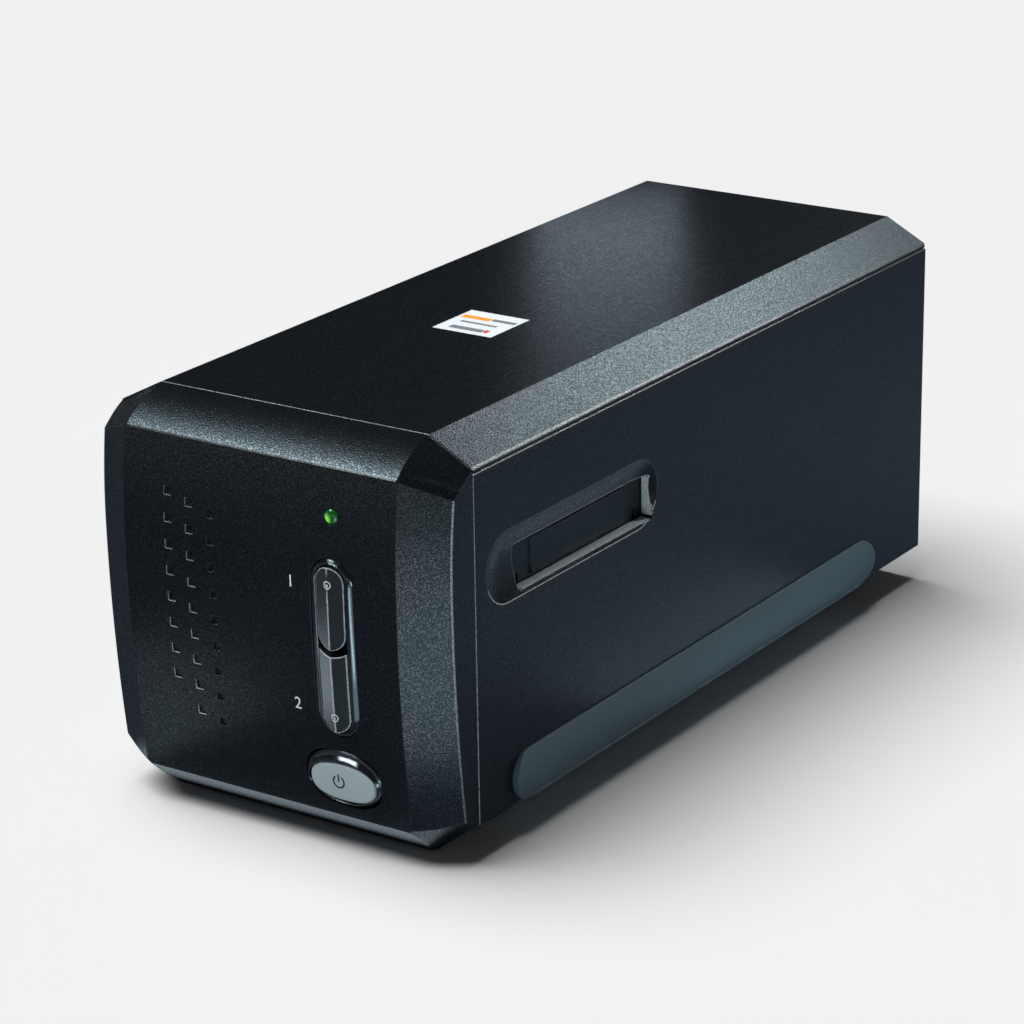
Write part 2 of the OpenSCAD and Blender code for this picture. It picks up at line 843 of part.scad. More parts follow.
// Lower scan key, round at the bottom and hollowed at the top
module scan_key_lower() {
    low = key_lower_z - key_h / 2;
    top = key_lower_z + key_h / 2;
    notch_r = (key_w * key_w / 4 + key_notch * key_notch) / (2 * key_notch);
    color("#8b9296") {
        intersection() {
            along_y(crest_y - key_proud, sleeve_y + hold_gap + flange_t)
                difference() {
                    union() {
                        translate([keys_x, low + key_w / 2]) circle(d = key_w);
                        translate([keys_x - key_w / 2, low + key_w / 2])
                            square([key_w, key_h - key_w / 2]);
                    }
                    translate([keys_x, top - key_notch + notch_r]) circle(r = notch_r);
                }
            key_front();
        }
        key_tail(key_lower_z);
    }
}

// Glossy oval ring around the power button, with a flange behind the bezel's wall
module power_ring() {
    a = ring_w / 2;
    b = ring_h / 2;
    color("#0c0d0f")
        difference() {
            union() {
                intersection() {
                    along_y(crest_y - 3, sleeve_y)
                        oval(button_x, ring_z, a - press_gap, b - press_gap);
                    crest_form(-ring_proud);
                }
                intersection() {
                    along_y(crest_y, sleeve_y)
                        oval(button_x, ring_z, a + flange_w, b + flange_w);
                    difference() {
                        crest_form(wall_t);
                        crest_form(wall_t + flange_t);
                    }
                }
            }
            along_y(crest_y - 4, sleeve_y + 1)
                oval(button_x, button_z, button_w / 2 + key_fit, button_h / 2 + key_fit);
        }
}

// Power button: an oval cap with a retaining flange and a stem
module power_button() {
    back = sleeve_y + hold_gap + flange_t;
    color("#b9bfc2") {
        intersection() {
            along_y(crest_y - 3, back)
                oval(button_x, button_z, button_w / 2, button_h / 2);
            crest_form(-button_proud);
        }
        block([button_x - button_w / 2 - flange_w, button_x + button_w / 2 + flange_w],
            [sleeve_y + hold_gap, back], [button_z - 2, button_z + 2]);
        bar_y(button_x, button_z, stem_r, back - 0.5, stem_y);
    }
}

// Clear light pipe of the indicator, with a collar behind the bezel's wall
module led_lens() {
    color("#66c25a") {
        intersection() {
            bar_y(led_x, led_z, led_d / 2, crest_y - 2, led_y);
            crest_form(-led_proud);
        }
        bar_y(led_x, led_z, led_d / 2 + 0.8, crest_y + 3.7, crest_y + 4.7);
    }
}

module top_label() {
    color("white")
        translate([0, seam_y + label_back, body_h - label_seat + label_t / 2])
            cube([label_w, label_w, label_t], center = true);
}

// Board behind the front, on the bezel's bosses
module button_board() {
    color("#1d5a36")
        block([button_x - board_w / 2, button_x + board_w / 2], [board_y, board_y + pcb_t],
            [board_lo, board_hi]);
}

// One push switch for each scan key and one for the power button
module touch_switches() {
    front = stem_y + button_travel + 0.2;
    color("#3a3d40")
        for (p = [[keys_x, key_upper_z], [keys_x, key_lower_z], [button_x, button_z]]) {
            bar_y(p[0], p[1], stem_r, front, board_y);
            block([p[0] - 3, p[0] + 3], [front + 1, board_y], [p[1] - 3, p[1] + 3]);
        }
}

module status_led() {
    color("#9fe08c") {
        bar_y(led_x, led_z, 1.5, led_y + 0.2, board_y);
        bar_y(led_x, led_z, 2, board_y - 1, board_y);
    }
}

// Power socket: a block on the board with a round nose through the rear panel
module dc_jack() {
    color("#17181a") {
        difference() {
            union() {
                block([jack_x - jack_w / 2, jack_x + jack_w / 2], [main_board_y, panel_y - 0.1],
                    [socket_z - 6, socket_z + 5]);
                bar_y(jack_x, socket_z, jack_r, panel_y - 0.2, rear_y - 0.4);
            }
            bar_y(jack_x, socket_z, jack_bore / 2, rear_y - 10, rear_y);
        }
        bar_y(jack_x, socket_z, 1, rear_y - 11, rear_y - 1.5);
    }
}

// Data socket: a square shell on the board with a contact tongue inside
module usb_socket() {
    face = rear_y - 0.3;
    color("silver")
        difference() {
            block([usb_x - usb_w / 2, usb_x + usb_w / 2], [main_board_y, face],
                [socket_z - usb_h / 2, socket_z + usb_h / 2]);
            along_y(face - 9, face + 1) translate([usb_x, socket_z])
                polygon([[-4.25, -3.9], [4.25, -3.9], [4.25, 2.2], [2.6, 3.9], [-2.6, 3.9],
                    [-4.25, 2.2]]);
        }
    color("#e8e8e4")
        block([usb_x - 2.8, usb_x + 2.8], [face - 9.5, face - 1.2], [socket_z - 1.6, socket_z + 1.6]);
}

// Main board, upright in front of the rear panel
module main_board() {
    color("#1d5a36")
        block([-main_board_x, main_board_x], [main_board_y - pcb_t, main_board_y], main_board_z);
}

// Chips, coils and capacitors on the front of the main board
module board_parts() {
    face = main_board_y - pcb_t;
    color("#202225") {
        for (c = chips)
            translate([c[0], face - c[4] / 2, c[1]]) cube([c[2], c[4], c[3]], center = true);
        for (up = [20, 32])
            bar_y(can_x, main_board_z[0] + up, can_r, face - can_h, face);
    }
}

// One bulkhead of the chassis with its screw posts
module bulkhead(s, post_s) {
    case_block([-block_x, block_x], [s, s + bulk_t], [bulk_lo, bulk_hi]);
    case_block([-block_x, block_x], [post_s - screw_post_r, post_s + screw_post_r],
        [bulk_lo, bulk_lo + 3]);
    for (side = [-1, 1])
        bar_z(side * screw_x, seam_y + post_s, screw_post_r, pad_z, bulk_lo + 1);
}

// Moulded chassis: two bulkheads, side beams and the columns under the film guide
module chassis() {
    color("#3c4247")
        difference() {
            union() {
                bulkhead(bulk_front_s, bulk_front_s + 4);
                bulkhead(bulk_rear_s, bulk_rear_s);
                both_sides() {
                    case_block([beam_in, block_x], [bulk_front_s, bulk_rear_s + bulk_t],
                        [bulk_lo, bulk_lo + beam_h]);
                    for (s = [film_s - column_s, film_s + column_s])
                        case_block([beam_in, beam_in + column_w],
                            [s - column_w / 2, s + column_w / 2], [bulk_lo, guide_lo]);
                }
            }
            both_sides()
                bar_y(rod_x, rod_z, rod_d / 2 + press_gap, seam_y, rear_y);
            bar_y(0, screw_z, screw_r + bushing_t + press_gap, seam_y, rear_y);
            for (p = screw_places)
                bar_z(p[0], p[1], 1.5 + press_gap, pad_z - 1, bulk_lo + 2);
        }
}

// Window in the film guide's plates for the light, between two heights
module light_gate(z) {
    case_block([-gate_w / 2, gate_w / 2], [film_s - gate_len / 2, film_s + gate_len / 2], z);
}

// Floor of the film guide, which carries the film holder from door to door
module film_guide() {
    color("#2b2f33")
        difference() {
            case_block([-guide_x, guide_x], [window_start - guide_edge, window_end + guide_edge],
                [guide_lo, film_z]);
            light_gate([guide_lo - 1, film_z + 1]);
        }
}

// Side rails of the film guide
module film_rails() {
    color("#2b2f33")
        for (s = [window_start - guide_edge, window_end - rail_gap])
            case_block([-rail_x, rail_x], [s, s + guide_edge + rail_gap], [film_z, ceiling_z]);
}

// Roof of the film guide
module film_roof() {
    color("#2b2f33")
        difference() {
            case_block([-rail_x, rail_x], [window_start - guide_edge, window_end + guide_edge],
                [ceiling_z, ceiling_z + ceiling_t]);
            light_gate([ceiling_z - 1, ceiling_z + ceiling_t + 1]);
        }
}

// Housing of the lamp, standing on the film guide's roof
module lamp_housing() {
    roof = ceiling_z + ceiling_t;
    s0 = film_s - lamp_len / 2;
    color("#2b2f33")
        difference() {
            case_block([-lamp_w / 2, lamp_w / 2], [s0, s0 + lamp_len], [roof, roof + lamp_h]);
            case_block([-lamp_w / 2 + lamp_t, lamp_w / 2 - lamp_t],
                [s0 + lamp_t, s0 + lamp_len - lamp_t], [roof - 1, roof + lamp_h - lamp_t]);
        }
}

// Lamp board under the housing's top, with two rows of light chips
module lamp_board() {
    top = ceiling_z + ceiling_t + lamp_h - lamp_t;
    color("#e4e6e2") {
        translate([0, seam_y + film_s, top - pcb_t / 2])
            cube([lamp_w - 2 * lamp_t - 0.4, lamp_len - 2 * lamp_t - 0.4, pcb_t], center = true);
        for (i = [-2 : 2], row = [-1, 1])
            translate([i * 8, seam_y + film_s + row * 7, top - pcb_t - 0.4])
                cube([3, 3, 1], center = true);
    }
}

// White diffuser over the film guide's window
module diffuser() {
    roof = ceiling_z + ceiling_t;
    color("#f2f4f2")
        translate([0, seam_y + film_s, roof + 1])
            cube([lamp_w - 2 * lamp_t - 0.4, lamp_len - 2 * lamp_t - 0.4, 2], center = true);
}

module guide_rods() {
    color("silver") both_sides()
        bar_y(rod_x, rod_z, rod_d / 2, seam_y + bulk_front_s, seam_y + bulk_rear_s + bulk_t);
}

// Plain bushings that carry the lead screw in the bulkheads
module screw_bushings() {
    color("#b08d57")
        for (s = [bulk_front_s, bulk_rear_s])
            difference() {
                bar_y(0, screw_z, screw_r + bushing_t, seam_y + s, seam_y + s + bulk_t);
                bar_y(0, screw_z, screw_r + run_fit, seam_y, rear_y);
            }
}

// One bearing lug of the carriage, on the right-hand side
module rod_lug(s) {
    bar_y(rod_x, rod_z, lug_r, seam_y + s, seam_y + s + lug_len);
    case_block([tray_w / 2 - 1, rod_x], [s, s + lug_len], [rod_z - lug_r, rod_z + lug_r]);
}

// A slab on the fold mirror's slope, its face at the height z over the mirror's plane
module mirror_slab(w, len, z) {
    translate([0, seam_y + slit_s, optic_z]) rotate([-45, 0, 0])
        block([-w / 2, w / 2], [-len / 2, len / 2], z);
}

// Optics carriage: an open tray with rod lugs, mirror wedge, hood and lens cradle
module carriage() {
    x = tray_w / 2;
    end = tray_s + tray_len;
    color("#4a4f54")
        difference() {
            union() {
                difference() {
                    case_block([-x, x], [tray_s, end], [tray_lo, tray_hi]);
                    case_block([-x + tray_t, x - tray_t], [tray_s + tray_t, end - tray_t],
                        [tray_lo + tray_t, tray_hi + 1]);
                }
                intersection() {
                    case_block([-x + 1, x - 1], [tray_s + 1, end], [tray_lo + 1, tray_hi]);
                    mirror_slab(mirror_w + 4, 60, [-60, -mirror_t]);
                }
                case_block([-x + 1, x - 1], [tray_s + 1, tray_s + hood_len],
                    [tray_hi - tray_t, tray_hi]);
                case_block([-lens_r - 4, lens_r + 4], [lens_s, lens_s + lens_len],
                    [tray_lo + 1, optic_z + 3]);
                mirror([1, 0, 0]) {
                    rod_lug(tray_s + 4);
                    rod_lug(end - 4 - lug_len);
                }
                rod_lug(tray_s + tray_len / 2);
            }
            both_sides() bar_y(rod_x, rod_z, rod_d / 2 + run_fit, seam_y, rear_y);
            bar_y(0, optic_z, lens_r + press_gap, seam_y + lens_s - 1, seam_y + lens_s + lens_len + 1);
            case_block([-18, 18], [slit_s - 2, slit_s + 2], [tray_hi - tray_t - 1, tray_hi + 1]);
            case_block([-sensor_w / 2 - 0.5, sensor_w / 2 + 0.5], [end - tray_t - 1, end + 1],
                [optic_z - sensor_h / 2 - 0.5, optic_z + sensor_h / 2 + 0.5]);
        }
}

module fold_mirror() {
    color("#d8dee2") mirror_slab(mirror_w, mirror_len, [-mirror_t, 0]);
}

// Lens barrel with a stepped front and a bore that is open to the sensor
module lens_barrel() {
    front = seam_y + lens_s;
    color("#1a1b1d")
        difference() {
            union() {
                bar_y(0, optic_z, lens_r, front, front + lens_len);
                bar_y(0, optic_z, lens_r + 1.5, front - 6, front);
            }
            bar_y(0, optic_z, lens_r - 3, front - 7, front + 3);
            bar_y(0, optic_z, lens_r - 4, front + 8, front + lens_len + 1);
        }
}

module sensor_board() {
    face = seam_y + tray_s + tray_len;
    color("#1d5a36")
        block([-tray_w / 2 + 3, tray_w / 2 - 3], [face, face + pcb_t], [tray_lo + 2, tray_hi + 2]);
}

// Long line sensor on the front of its board, in the carriage's rear window
module line_sensor() {
    face = seam_y + tray_s + tray_len;
    color("#5c5148")
        block([-sensor_w / 2, sensor_w / 2], [face - 3, face],
            [optic_z - sensor_h / 2, optic_z + sensor_h / 2]);
}

// Nut under the carriage, round the lead screw
module drive_nut() {
    color("#e6e2d4")
        difference() {
            case_block([-nut_w / 2, nut_w / 2], [nut_s, nut_s + nut_len],
                [screw_z - nut_w / 2, tray_lo]);
            bar_y(0, screw_z, screw_r + run_fit, seam_y, rear_y);
        }
}

module lead_screw() {
    color("silver")
        bar_y(0, screw_z, screw_r, seam_y + bulk_front_s - 1, seam_y + gear_s + gear_t + 1);
}

// Involute gear on the lead screw
module screw_gear() {
    color("#e6e2d4")
        difference() {
            union() {
                along_y(seam_y + gear_s, seam_y + gear_s + gear_t)
                    translate([0, screw_z]) polygon(gear_points(screw_teeth, gear_module, 90));
                bar_y(0, screw_z, screw_r + 2, seam_y + gear_s - 1, seam_y + gear_s + gear_t);
            }
            bar_y(0, screw_z, screw_r + press_gap, seam_y, rear_y);
        }
}

// Sheet bracket that holds the motor behind the rear bulkhead
module motor_bracket() {
    x = bracket_w / 2;
    z = [motor_z - bracket_h / 2, motor_z + bracket_h / 2];
    wall = bulk_rear_s + bulk_t;
    color("#aeb4b8")
        difference() {
            union() {
                case_block([-x, x], [bracket_s, bracket_s + sheet_t], z);
                both_sides() {
                    case_block([x - sheet_t, x], [wall, bracket_s + sheet_t], z);
                    case_block([x - sheet_t, x + 9], [wall, wall + sheet_t], z);
                }
            }
            bar_y(0, motor_z, boss_r + 0.1, seam_y, rear_y);
            both_sides() bar_y(x + 4.5, motor_z, 1.7, seam_y, rear_y);
            both_sides() bar_y(motor_ear, motor_z, 1.7, seam_y, rear_y);
        }
}

// Stepper motor with its ears, pilot boss and connector
module drive_motor() {
    face = seam_y + bracket_s + sheet_t;
    color("#c2c6c8")
        difference() {
            union() {
                bar_y(0, motor_z, boss_r, face - sheet_t, face + 1);
                bar_y(0, motor_z, motor_r, face, face + motor_len);
                bar_y(0, motor_z, motor_r - 3, face, face + motor_len + 1.5);
                intersection() {
                    bar_y(0, motor_z, motor_ear + 3.5, face, face + 1);
                    block([-motor_ear - 5, motor_ear + 5], [face, face + 1],
                        [motor_z - 3.5, motor_z + 3.5]);
                }
                block([-7, 7], [face + 6, face + 16], [motor_z + 10, motor_z + motor_r + 4]);
            }
            bar_y(0, motor_z, shaft_r + run_fit, face - 9, face + 8);
            both_sides() bar_y(motor_ear, motor_z, 1.7, seam_y, rear_y);
        }
}

module motor_shaft() {
    color("silver")
        bar_y(0, motor_z, shaft_r, seam_y + gear_s - 0.5, seam_y + bracket_s + sheet_t + 7);
}

// Involute pinion on the motor's shaft, in mesh with the screw gear
module motor_pinion() {
    turn = 90 + 180 / pinion_teeth * (1 + pinion_teeth % 2);
    color("#b08d57")
        difference() {
            along_y(seam_y + gear_s, seam_y + gear_s + gear_t)
                translate([0, motor_z]) polygon(gear_points(pinion_teeth, gear_module, turn));
            bar_y(0, motor_z, shaft_r + press_gap, seam_y, rear_y);
        }
}

// Screws that hold the chassis from below
module case_screws() {
    color("silver")
        for (p = screw_places) {
            bar_z(p[0], p[1], 2.8, base_z + 0.4, base_z + 2.2);
            bar_z(p[0], p[1], 1.5, base_z + 2, bulk_lo + 1);
        }
}

front_bezel();
top_cover();
lower_case();
rear_panel();
strip_right();
strip_left();
door_right();
door_left();
door_pins();
key_surround();
scan_key_upper();
scan_key_lower();
power_ring();
power_button();
led_lens();
top_label();
button_board();
touch_switches();
status_led();
dc_jack();
usb_socket();
main_board();
board_parts();
chassis();
film_guide();
film_rails();
film_roof();
lamp_housing();
lamp_board();
diffuser();
guide_rods();
screw_bushings();
carriage();
fold_mirror();
lens_barrel();
sensor_board();
line_sensor();
drive_nut();
lead_screw();
screw_gear();
motor_bracket();
drive_motor();
motor_shaft();
motor_pinion();
case_screws();
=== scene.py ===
"""Film negative scanner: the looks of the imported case, keys, film slots and works."""
import json
import math

import bmesh
import bpy
from mathutils import Matrix, Vector
from mathutils.bvhtree import BVHTree


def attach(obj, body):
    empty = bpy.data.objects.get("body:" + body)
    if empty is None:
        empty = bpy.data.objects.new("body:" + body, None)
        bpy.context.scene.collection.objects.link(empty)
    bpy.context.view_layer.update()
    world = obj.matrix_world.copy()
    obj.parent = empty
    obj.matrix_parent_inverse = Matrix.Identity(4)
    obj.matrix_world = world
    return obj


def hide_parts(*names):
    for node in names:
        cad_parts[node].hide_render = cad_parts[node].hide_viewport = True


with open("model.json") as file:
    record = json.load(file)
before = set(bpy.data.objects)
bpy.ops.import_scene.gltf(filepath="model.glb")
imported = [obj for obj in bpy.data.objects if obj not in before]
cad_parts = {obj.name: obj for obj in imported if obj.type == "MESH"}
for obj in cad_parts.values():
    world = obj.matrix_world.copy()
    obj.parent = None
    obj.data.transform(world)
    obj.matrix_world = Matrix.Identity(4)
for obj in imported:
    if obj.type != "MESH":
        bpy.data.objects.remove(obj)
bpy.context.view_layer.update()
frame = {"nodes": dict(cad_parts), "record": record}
nodes = frame["nodes"]
MM = 0.001

# ---------------------------------------------------------------- named places, in millimetres
# Crowned front: its foremost line and the radii above and below it
CREST_Y, CREST_Z, CREST_UPPER_R, CREST_LOWER_R = -134.0, 80.0, 205.0, 520.0
# Seam between the bezel and the case, and joint between the case and its cover
SEAM_Y, JOINT_Z = -116.6, 110.9
# Beyond this distance from the middle, an edge lies on a side face
SIDE_X = 57.3
# Foot of the bezel's side bevels, line where the brow meets the face, and field of square pits
BEVEL_FOOT_Z, BROW_FOOT_Z = 8.0, (110.0, 112.0)
PITS_X, PITS_Z = (-46.0, -19.0), (25.0, 106.0)
# Controls
KEYS_X, SURROUND_Z, UPPER_ICON_Z, LOWER_ICON_Z = 24.4, 60.7, 79.6, 41.4
BUTTON_X, BUTTON_Z, RING_Z = 24.2, 21.4, 22.4
LED_X, LED_Z = 24.5, 97.8
# Film slots: ends and height of the window, and centres and radius of the recess's round ends
SLOT_Z, SLOT_START, SLOT_END = 80.2, -94.8, -27.8
WINDOW_LO, WINDOW_HI = 71.2, 83.9
RECESS_Y, RECESS_R = (-100.9, -35.5), 10.2
SCREW_PLACES = ((-32.0, -104.6), (32.0, -104.6), (-32.0, 73.4), (32.0, 73.4))
LABEL_W, LABEL_BACK_Y = 20.0, -16.6


def face_y(z, proud=0.0):
    """Depth of the crowned front at the height z, with what stands proud of it."""
    radius = CREST_UPPER_R if z > CREST_Z else CREST_LOWER_R
    return CREST_Y + radius - math.sqrt((radius + proud) ** 2 - (z - CREST_Z) ** 2)


def verts_of(geom):
    return [part for part in geom if isinstance(part, bmesh.types.BMVert)]


def edges_of(geom):
    return [part for part in geom if isinstance(part, bmesh.types.BMEdge)]


def seal(shape):
    """Welds what meets and turns every face outwards."""
    bmesh.ops.remove_doubles(shape, verts=shape.verts, dist=0.002 * MM)
    bmesh.ops.recalc_face_normals(shape, faces=shape.faces)


def into_scene(name, data):
    """A new object in the scene for a mesh, a lamp or the camera."""
    thing = bpy.data.objects.new(name, data)
    bpy.context.scene.collection.objects.link(thing)
    return thing


def mesh_of(shape, name):
    """The shape as a mesh. The shape itself is given up."""
    mesh = bpy.data.meshes.new(name)
    shape.to_mesh(mesh)
    shape.free()
    return mesh


# ---------------------------------------------------------------- camera
def place_camera():
    """A long lens that looks down on the front and the right-hand side."""
    view = Vector((-0.52542, 0.78075, -0.33819)).normalized()
    back = -view
    across = Vector((-0.17556, 0.28944, 0.94096)).cross(back).normalized()
    up = back.cross(across)
    data = bpy.data.cameras.new("camera")
    data.sensor_width = 36
    data.lens = 3532.0 / 1024 * data.sensor_width
    data.clip_start, data.clip_end = 0.05, 60
    camera = into_scene("camera", data)
    axes = Matrix((across, up, back)).transposed().to_4x4()
    camera.matrix_world = Matrix.Translation((0.5463, -0.82414, 0.40905)) @ axes
    bpy.context.scene.camera = camera


place_camera()


# ---------------------------------------------------------------- node helpers
def new_group(name, inputs, outputs):
    """A shader node group with its named sockets, and its input and output nodes."""
    group = bpy.data.node_groups.new(name, "ShaderNodeTree")
    for socket_name, kind, value in inputs:
        socket = group.interface.new_socket(name=socket_name, in_out="INPUT", socket_type=kind)
        socket.default_value = value
    for socket_name, kind in outputs:
        group.interface.new_socket(name=socket_name, in_out="OUTPUT", socket_type=kind)
    return group, group.nodes.new("NodeGroupInput"), group.nodes.new("NodeGroupOutput")


def feed(tree, socket, value):
    """Links an output to a socket, or sets the socket's own value."""
    if isinstance(value, bpy.types.NodeSocket):
        tree.links.new(value, socket)
    elif value is not None:
        socket.default_value = value


def maths(tree, operation, a, b=None, clamp=False):
    """One sum of two values or sockets."""
    node = tree.nodes.new("ShaderNodeMath")
    node.operation = operation
    node.use_clamp = clamp
    feed(tree, node.inputs[0], a)
    feed(tree, node.inputs[1], b)
    return node.outputs[0]


def ranged(tree, value, low, high, to_low=0.0, to_high=1.0):
    """A value carried smoothly from one range to another."""
    node = tree.nodes.new("ShaderNodeMapRange")
    node.interpolation_type = "SMOOTHSTEP"
    feed(tree, node.inputs["Value"], value)
    feed(tree, node.inputs["From Min"], low)
    feed(tree, node.inputs["From Max"], high)
    feed(tree, node.inputs["To Min"], to_low)
    feed(tree, node.inputs["To Max"], to_high)
    return node.outputs["Result"]


def blended(tree, share, a, b, kind="RGBA"):
    """A mix of two colours, or of two values where the kind is FLOAT."""
    node = tree.nodes.new("ShaderNodeMix")
    node.data_type = kind
    first, second, result = (6, 7, 2) if kind == "RGBA" else (2, 3, 0)
    feed(tree, node.inputs[0], share)
    feed(tree, node.inputs[first], a)
    feed(tree, node.inputs[second], b)
    return node.outputs[result]


def noise(tree, place, scale, detail=2.0, rough=0.5):
    node = tree.nodes.new("ShaderNodeTexNoise")
    feed(tree, node.inputs["Vector"], place)
    feed(tree, node.inputs["Scale"], scale)
    node.inputs["Detail"].default_value = detail
    node.inputs["Roughness"].default_value = rough
    return node.outputs["Fac"]


def place_of(tree):
    return tree.nodes.new("ShaderNodeTexCoord").outputs["Object"]


# ---------------------------------------------------------------- shared effects
def make_grain():
    """Spark-eroded mould grain: a bump height, a fine speckle, slow patches and points that glint."""
    group, entry, leave = new_group(
        "spark_eroded_grain",
        [("Vector", "NodeSocketVector", (0, 0, 0)), ("Grains per metre", "NodeSocketFloat", 2600.0)],
        [
            ("Height", "NodeSocketFloat"),
            ("Speckle", "NodeSocketFloat"),
            ("Patches", "NodeSocketFloat"),
            ("Glints", "NodeSocketFloat"),
        ],
    )
    fine = noise(group, entry.outputs[0], entry.outputs[1], 1.5, 0.6)
    broad = noise(group, entry.outputs[0], maths(group, "MULTIPLY", entry.outputs[1], 0.5), 1.0)
    cells = group.nodes.new("ShaderNodeTexVoronoi")
    feed(group, cells.inputs["Vector"], entry.outputs[0])
    feed(group, cells.inputs["Scale"], maths(group, "MULTIPLY", entry.outputs[1], 0.85))
    pits = ranged(group, cells.outputs["Distance"], 0.05, 0.6)
    height = blended(group, 0.4, blended(group, 0.05, fine, broad, "FLOAT"), pits, "FLOAT")
    feed(group, leave.inputs[0], height)
    feed(group, leave.inputs[1], ranged(group, fine, 0.36, 0.68))
    feed(group, leave.inputs[2], noise(group, entry.outputs[0], 38.0, 3.0))
    points = noise(group, entry.outputs[0], maths(group, "MULTIPLY", entry.outputs[1], 0.9), 0.0)
    feed(group, leave.inputs[3], ranged(group, points, 0.46, 0.74))
    return group


def make_edge_wear():
    """Rounded edge normals, and a broken mask along the edges that hands rub."""
    group, entry, leave = new_group(
        "edge_wear",
        [
            ("Vector", "NodeSocketVector", (0, 0, 0)),
            ("Radius", "NodeSocketFloat", 0.0005),
            ("Amount", "NodeSocketFloat", 0.5),
        ],
        [("Mask", "NodeSocketFloat"), ("Edge", "NodeSocketFloat"), ("Normal", "NodeSocketVector")],
    )
    edge = group.nodes.new("ShaderNodeBevel")
    edge.samples = 4
    feed(group, edge.inputs["Radius"], entry.outputs[1])
    plain = group.nodes.new("ShaderNodeNewGeometry").outputs["Normal"]
    dot = group.nodes.new("ShaderNodeVectorMath")
    dot.operation = "DOT_PRODUCT"
    feed(group, dot.inputs[0], edge.outputs["Normal"])
    feed(group, dot.inputs[1], plain)
    turned = ranged(group, dot.outputs["Value"], 0.995, 0.93)
    breaks = ranged(group, noise(group, entry.outputs[0], 420.0, 4.0, 0.65), 0.35, 0.68)
    lasting = maths(group, "ADD", maths(group, "MULTIPLY", breaks, 0.75), 0.25)
    worn = maths(group, "MULTIPLY", turned, lasting)
    feed(group, leave.inputs[0], maths(group, "MULTIPLY", worn, entry.outputs[2], clamp=True))
    feed(group, leave.inputs[1], turned)
    feed(group, leave.inputs[2], edge.outputs["Normal"])
    return group


def make_dust():
    """Thin dust that settles where a face looks up."""
    group, entry, leave = new_group(
        "settled_dust",
        [("Vector", "NodeSocketVector", (0, 0, 0)), ("Amount", "NodeSocketFloat", 0.1)],
        [("Mask", "NodeSocketFloat")],
    )
    split = group.nodes.new("ShaderNodeSeparateXYZ")
    feed(group, split.inputs[0], group.nodes.new("ShaderNodeNewGeometry").outputs["Normal"])
    upward = ranged(group, split.outputs["Z"], 0.3, 1.0)
    specks = ranged(group, noise(group, entry.outputs[0], 900.0, 2.0, 0.7), 0.5, 0.8)
    haze = ranged(group, noise(group, entry.outputs[0], 24.0, 3.0), 0.3, 0.75)
    share = maths(group, "ADD", maths(group, "MULTIPLY", specks, 0.6), maths(group, "MULTIPLY", haze, 0.4))
    settled = maths(group, "MULTIPLY", upward, share)
    feed(group, leave.inputs[0], maths(group, "MULTIPLY", settled, entry.outputs[1]))
    return group


def make_brushing():
    """Fine lines along one axis, as grinding or drawing leaves on metal."""
    group, entry, leave = new_group(
        "brushed_lines",
        [
            ("Vector", "NodeSocketVector", (0, 0, 0)),
            ("Stretch", "NodeSocketVector", (1, 0.02, 1)),
            ("Lines per metre", "NodeSocketFloat", 3000.0),
        ],
        [("Height", "NodeSocketFloat"), ("Tone", "NodeSocketFloat")],
    )
    drawn = group.nodes.new("ShaderNodeVectorMath")
    drawn.operation = "MULTIPLY"
    feed(group, drawn.inputs[0], entry.outputs[0])
    feed(group, drawn.inputs[1], entry.outputs[1])
    lines = noise(group, drawn.outputs[0], entry.outputs[2], 3.0, 0.6)
    feed(group, leave.inputs[0], lines)
    feed(group, leave.inputs[1], noise(group, entry.outputs[0], 60.0, 3.0))
    return group


GRAIN = make_grain()
WEAR = make_edge_wear()
DUST = make_dust()
BRUSHING = make_brushing()


def use_group(tree, group, **values):
    """A group in a material, with its inputs by name and underscores for the spaces."""
    node = tree.nodes.new("ShaderNodeGroup")
    node.node_tree = group
    for name, value in values.items():
        feed(tree, node.inputs[name.replace("_", " ")], value)
    return node


def bump(tree, height, depth, normal=None):
    node = tree.nodes.new("ShaderNodeBump")
    node.inputs["Strength"].default_value = 1.0
    node.inputs["Distance"].default_value = depth
    feed(tree, node.inputs["Height"], height)
    feed(tree, node.inputs["Normal"], normal)
    return node.outputs["Normal"]


def new_material(name):
    """A material with an empty Principled shader on its surface."""
    material = bpy.data.materials.new(name)
    material.use_nodes = True
    tree = material.node_tree
    tree.nodes.clear()
    shader = tree.nodes.new("ShaderNodeBsdfPrincipled")
    output = tree.nodes.new("ShaderNodeOutputMaterial")
    tree.links.new(shader.outputs[0], output.inputs["Surface"])
    return material, tree, shader


def shade(colour, factor):
    return tuple(min(1.0, channel * factor) for channel in colour[:3]) + (1.0,)


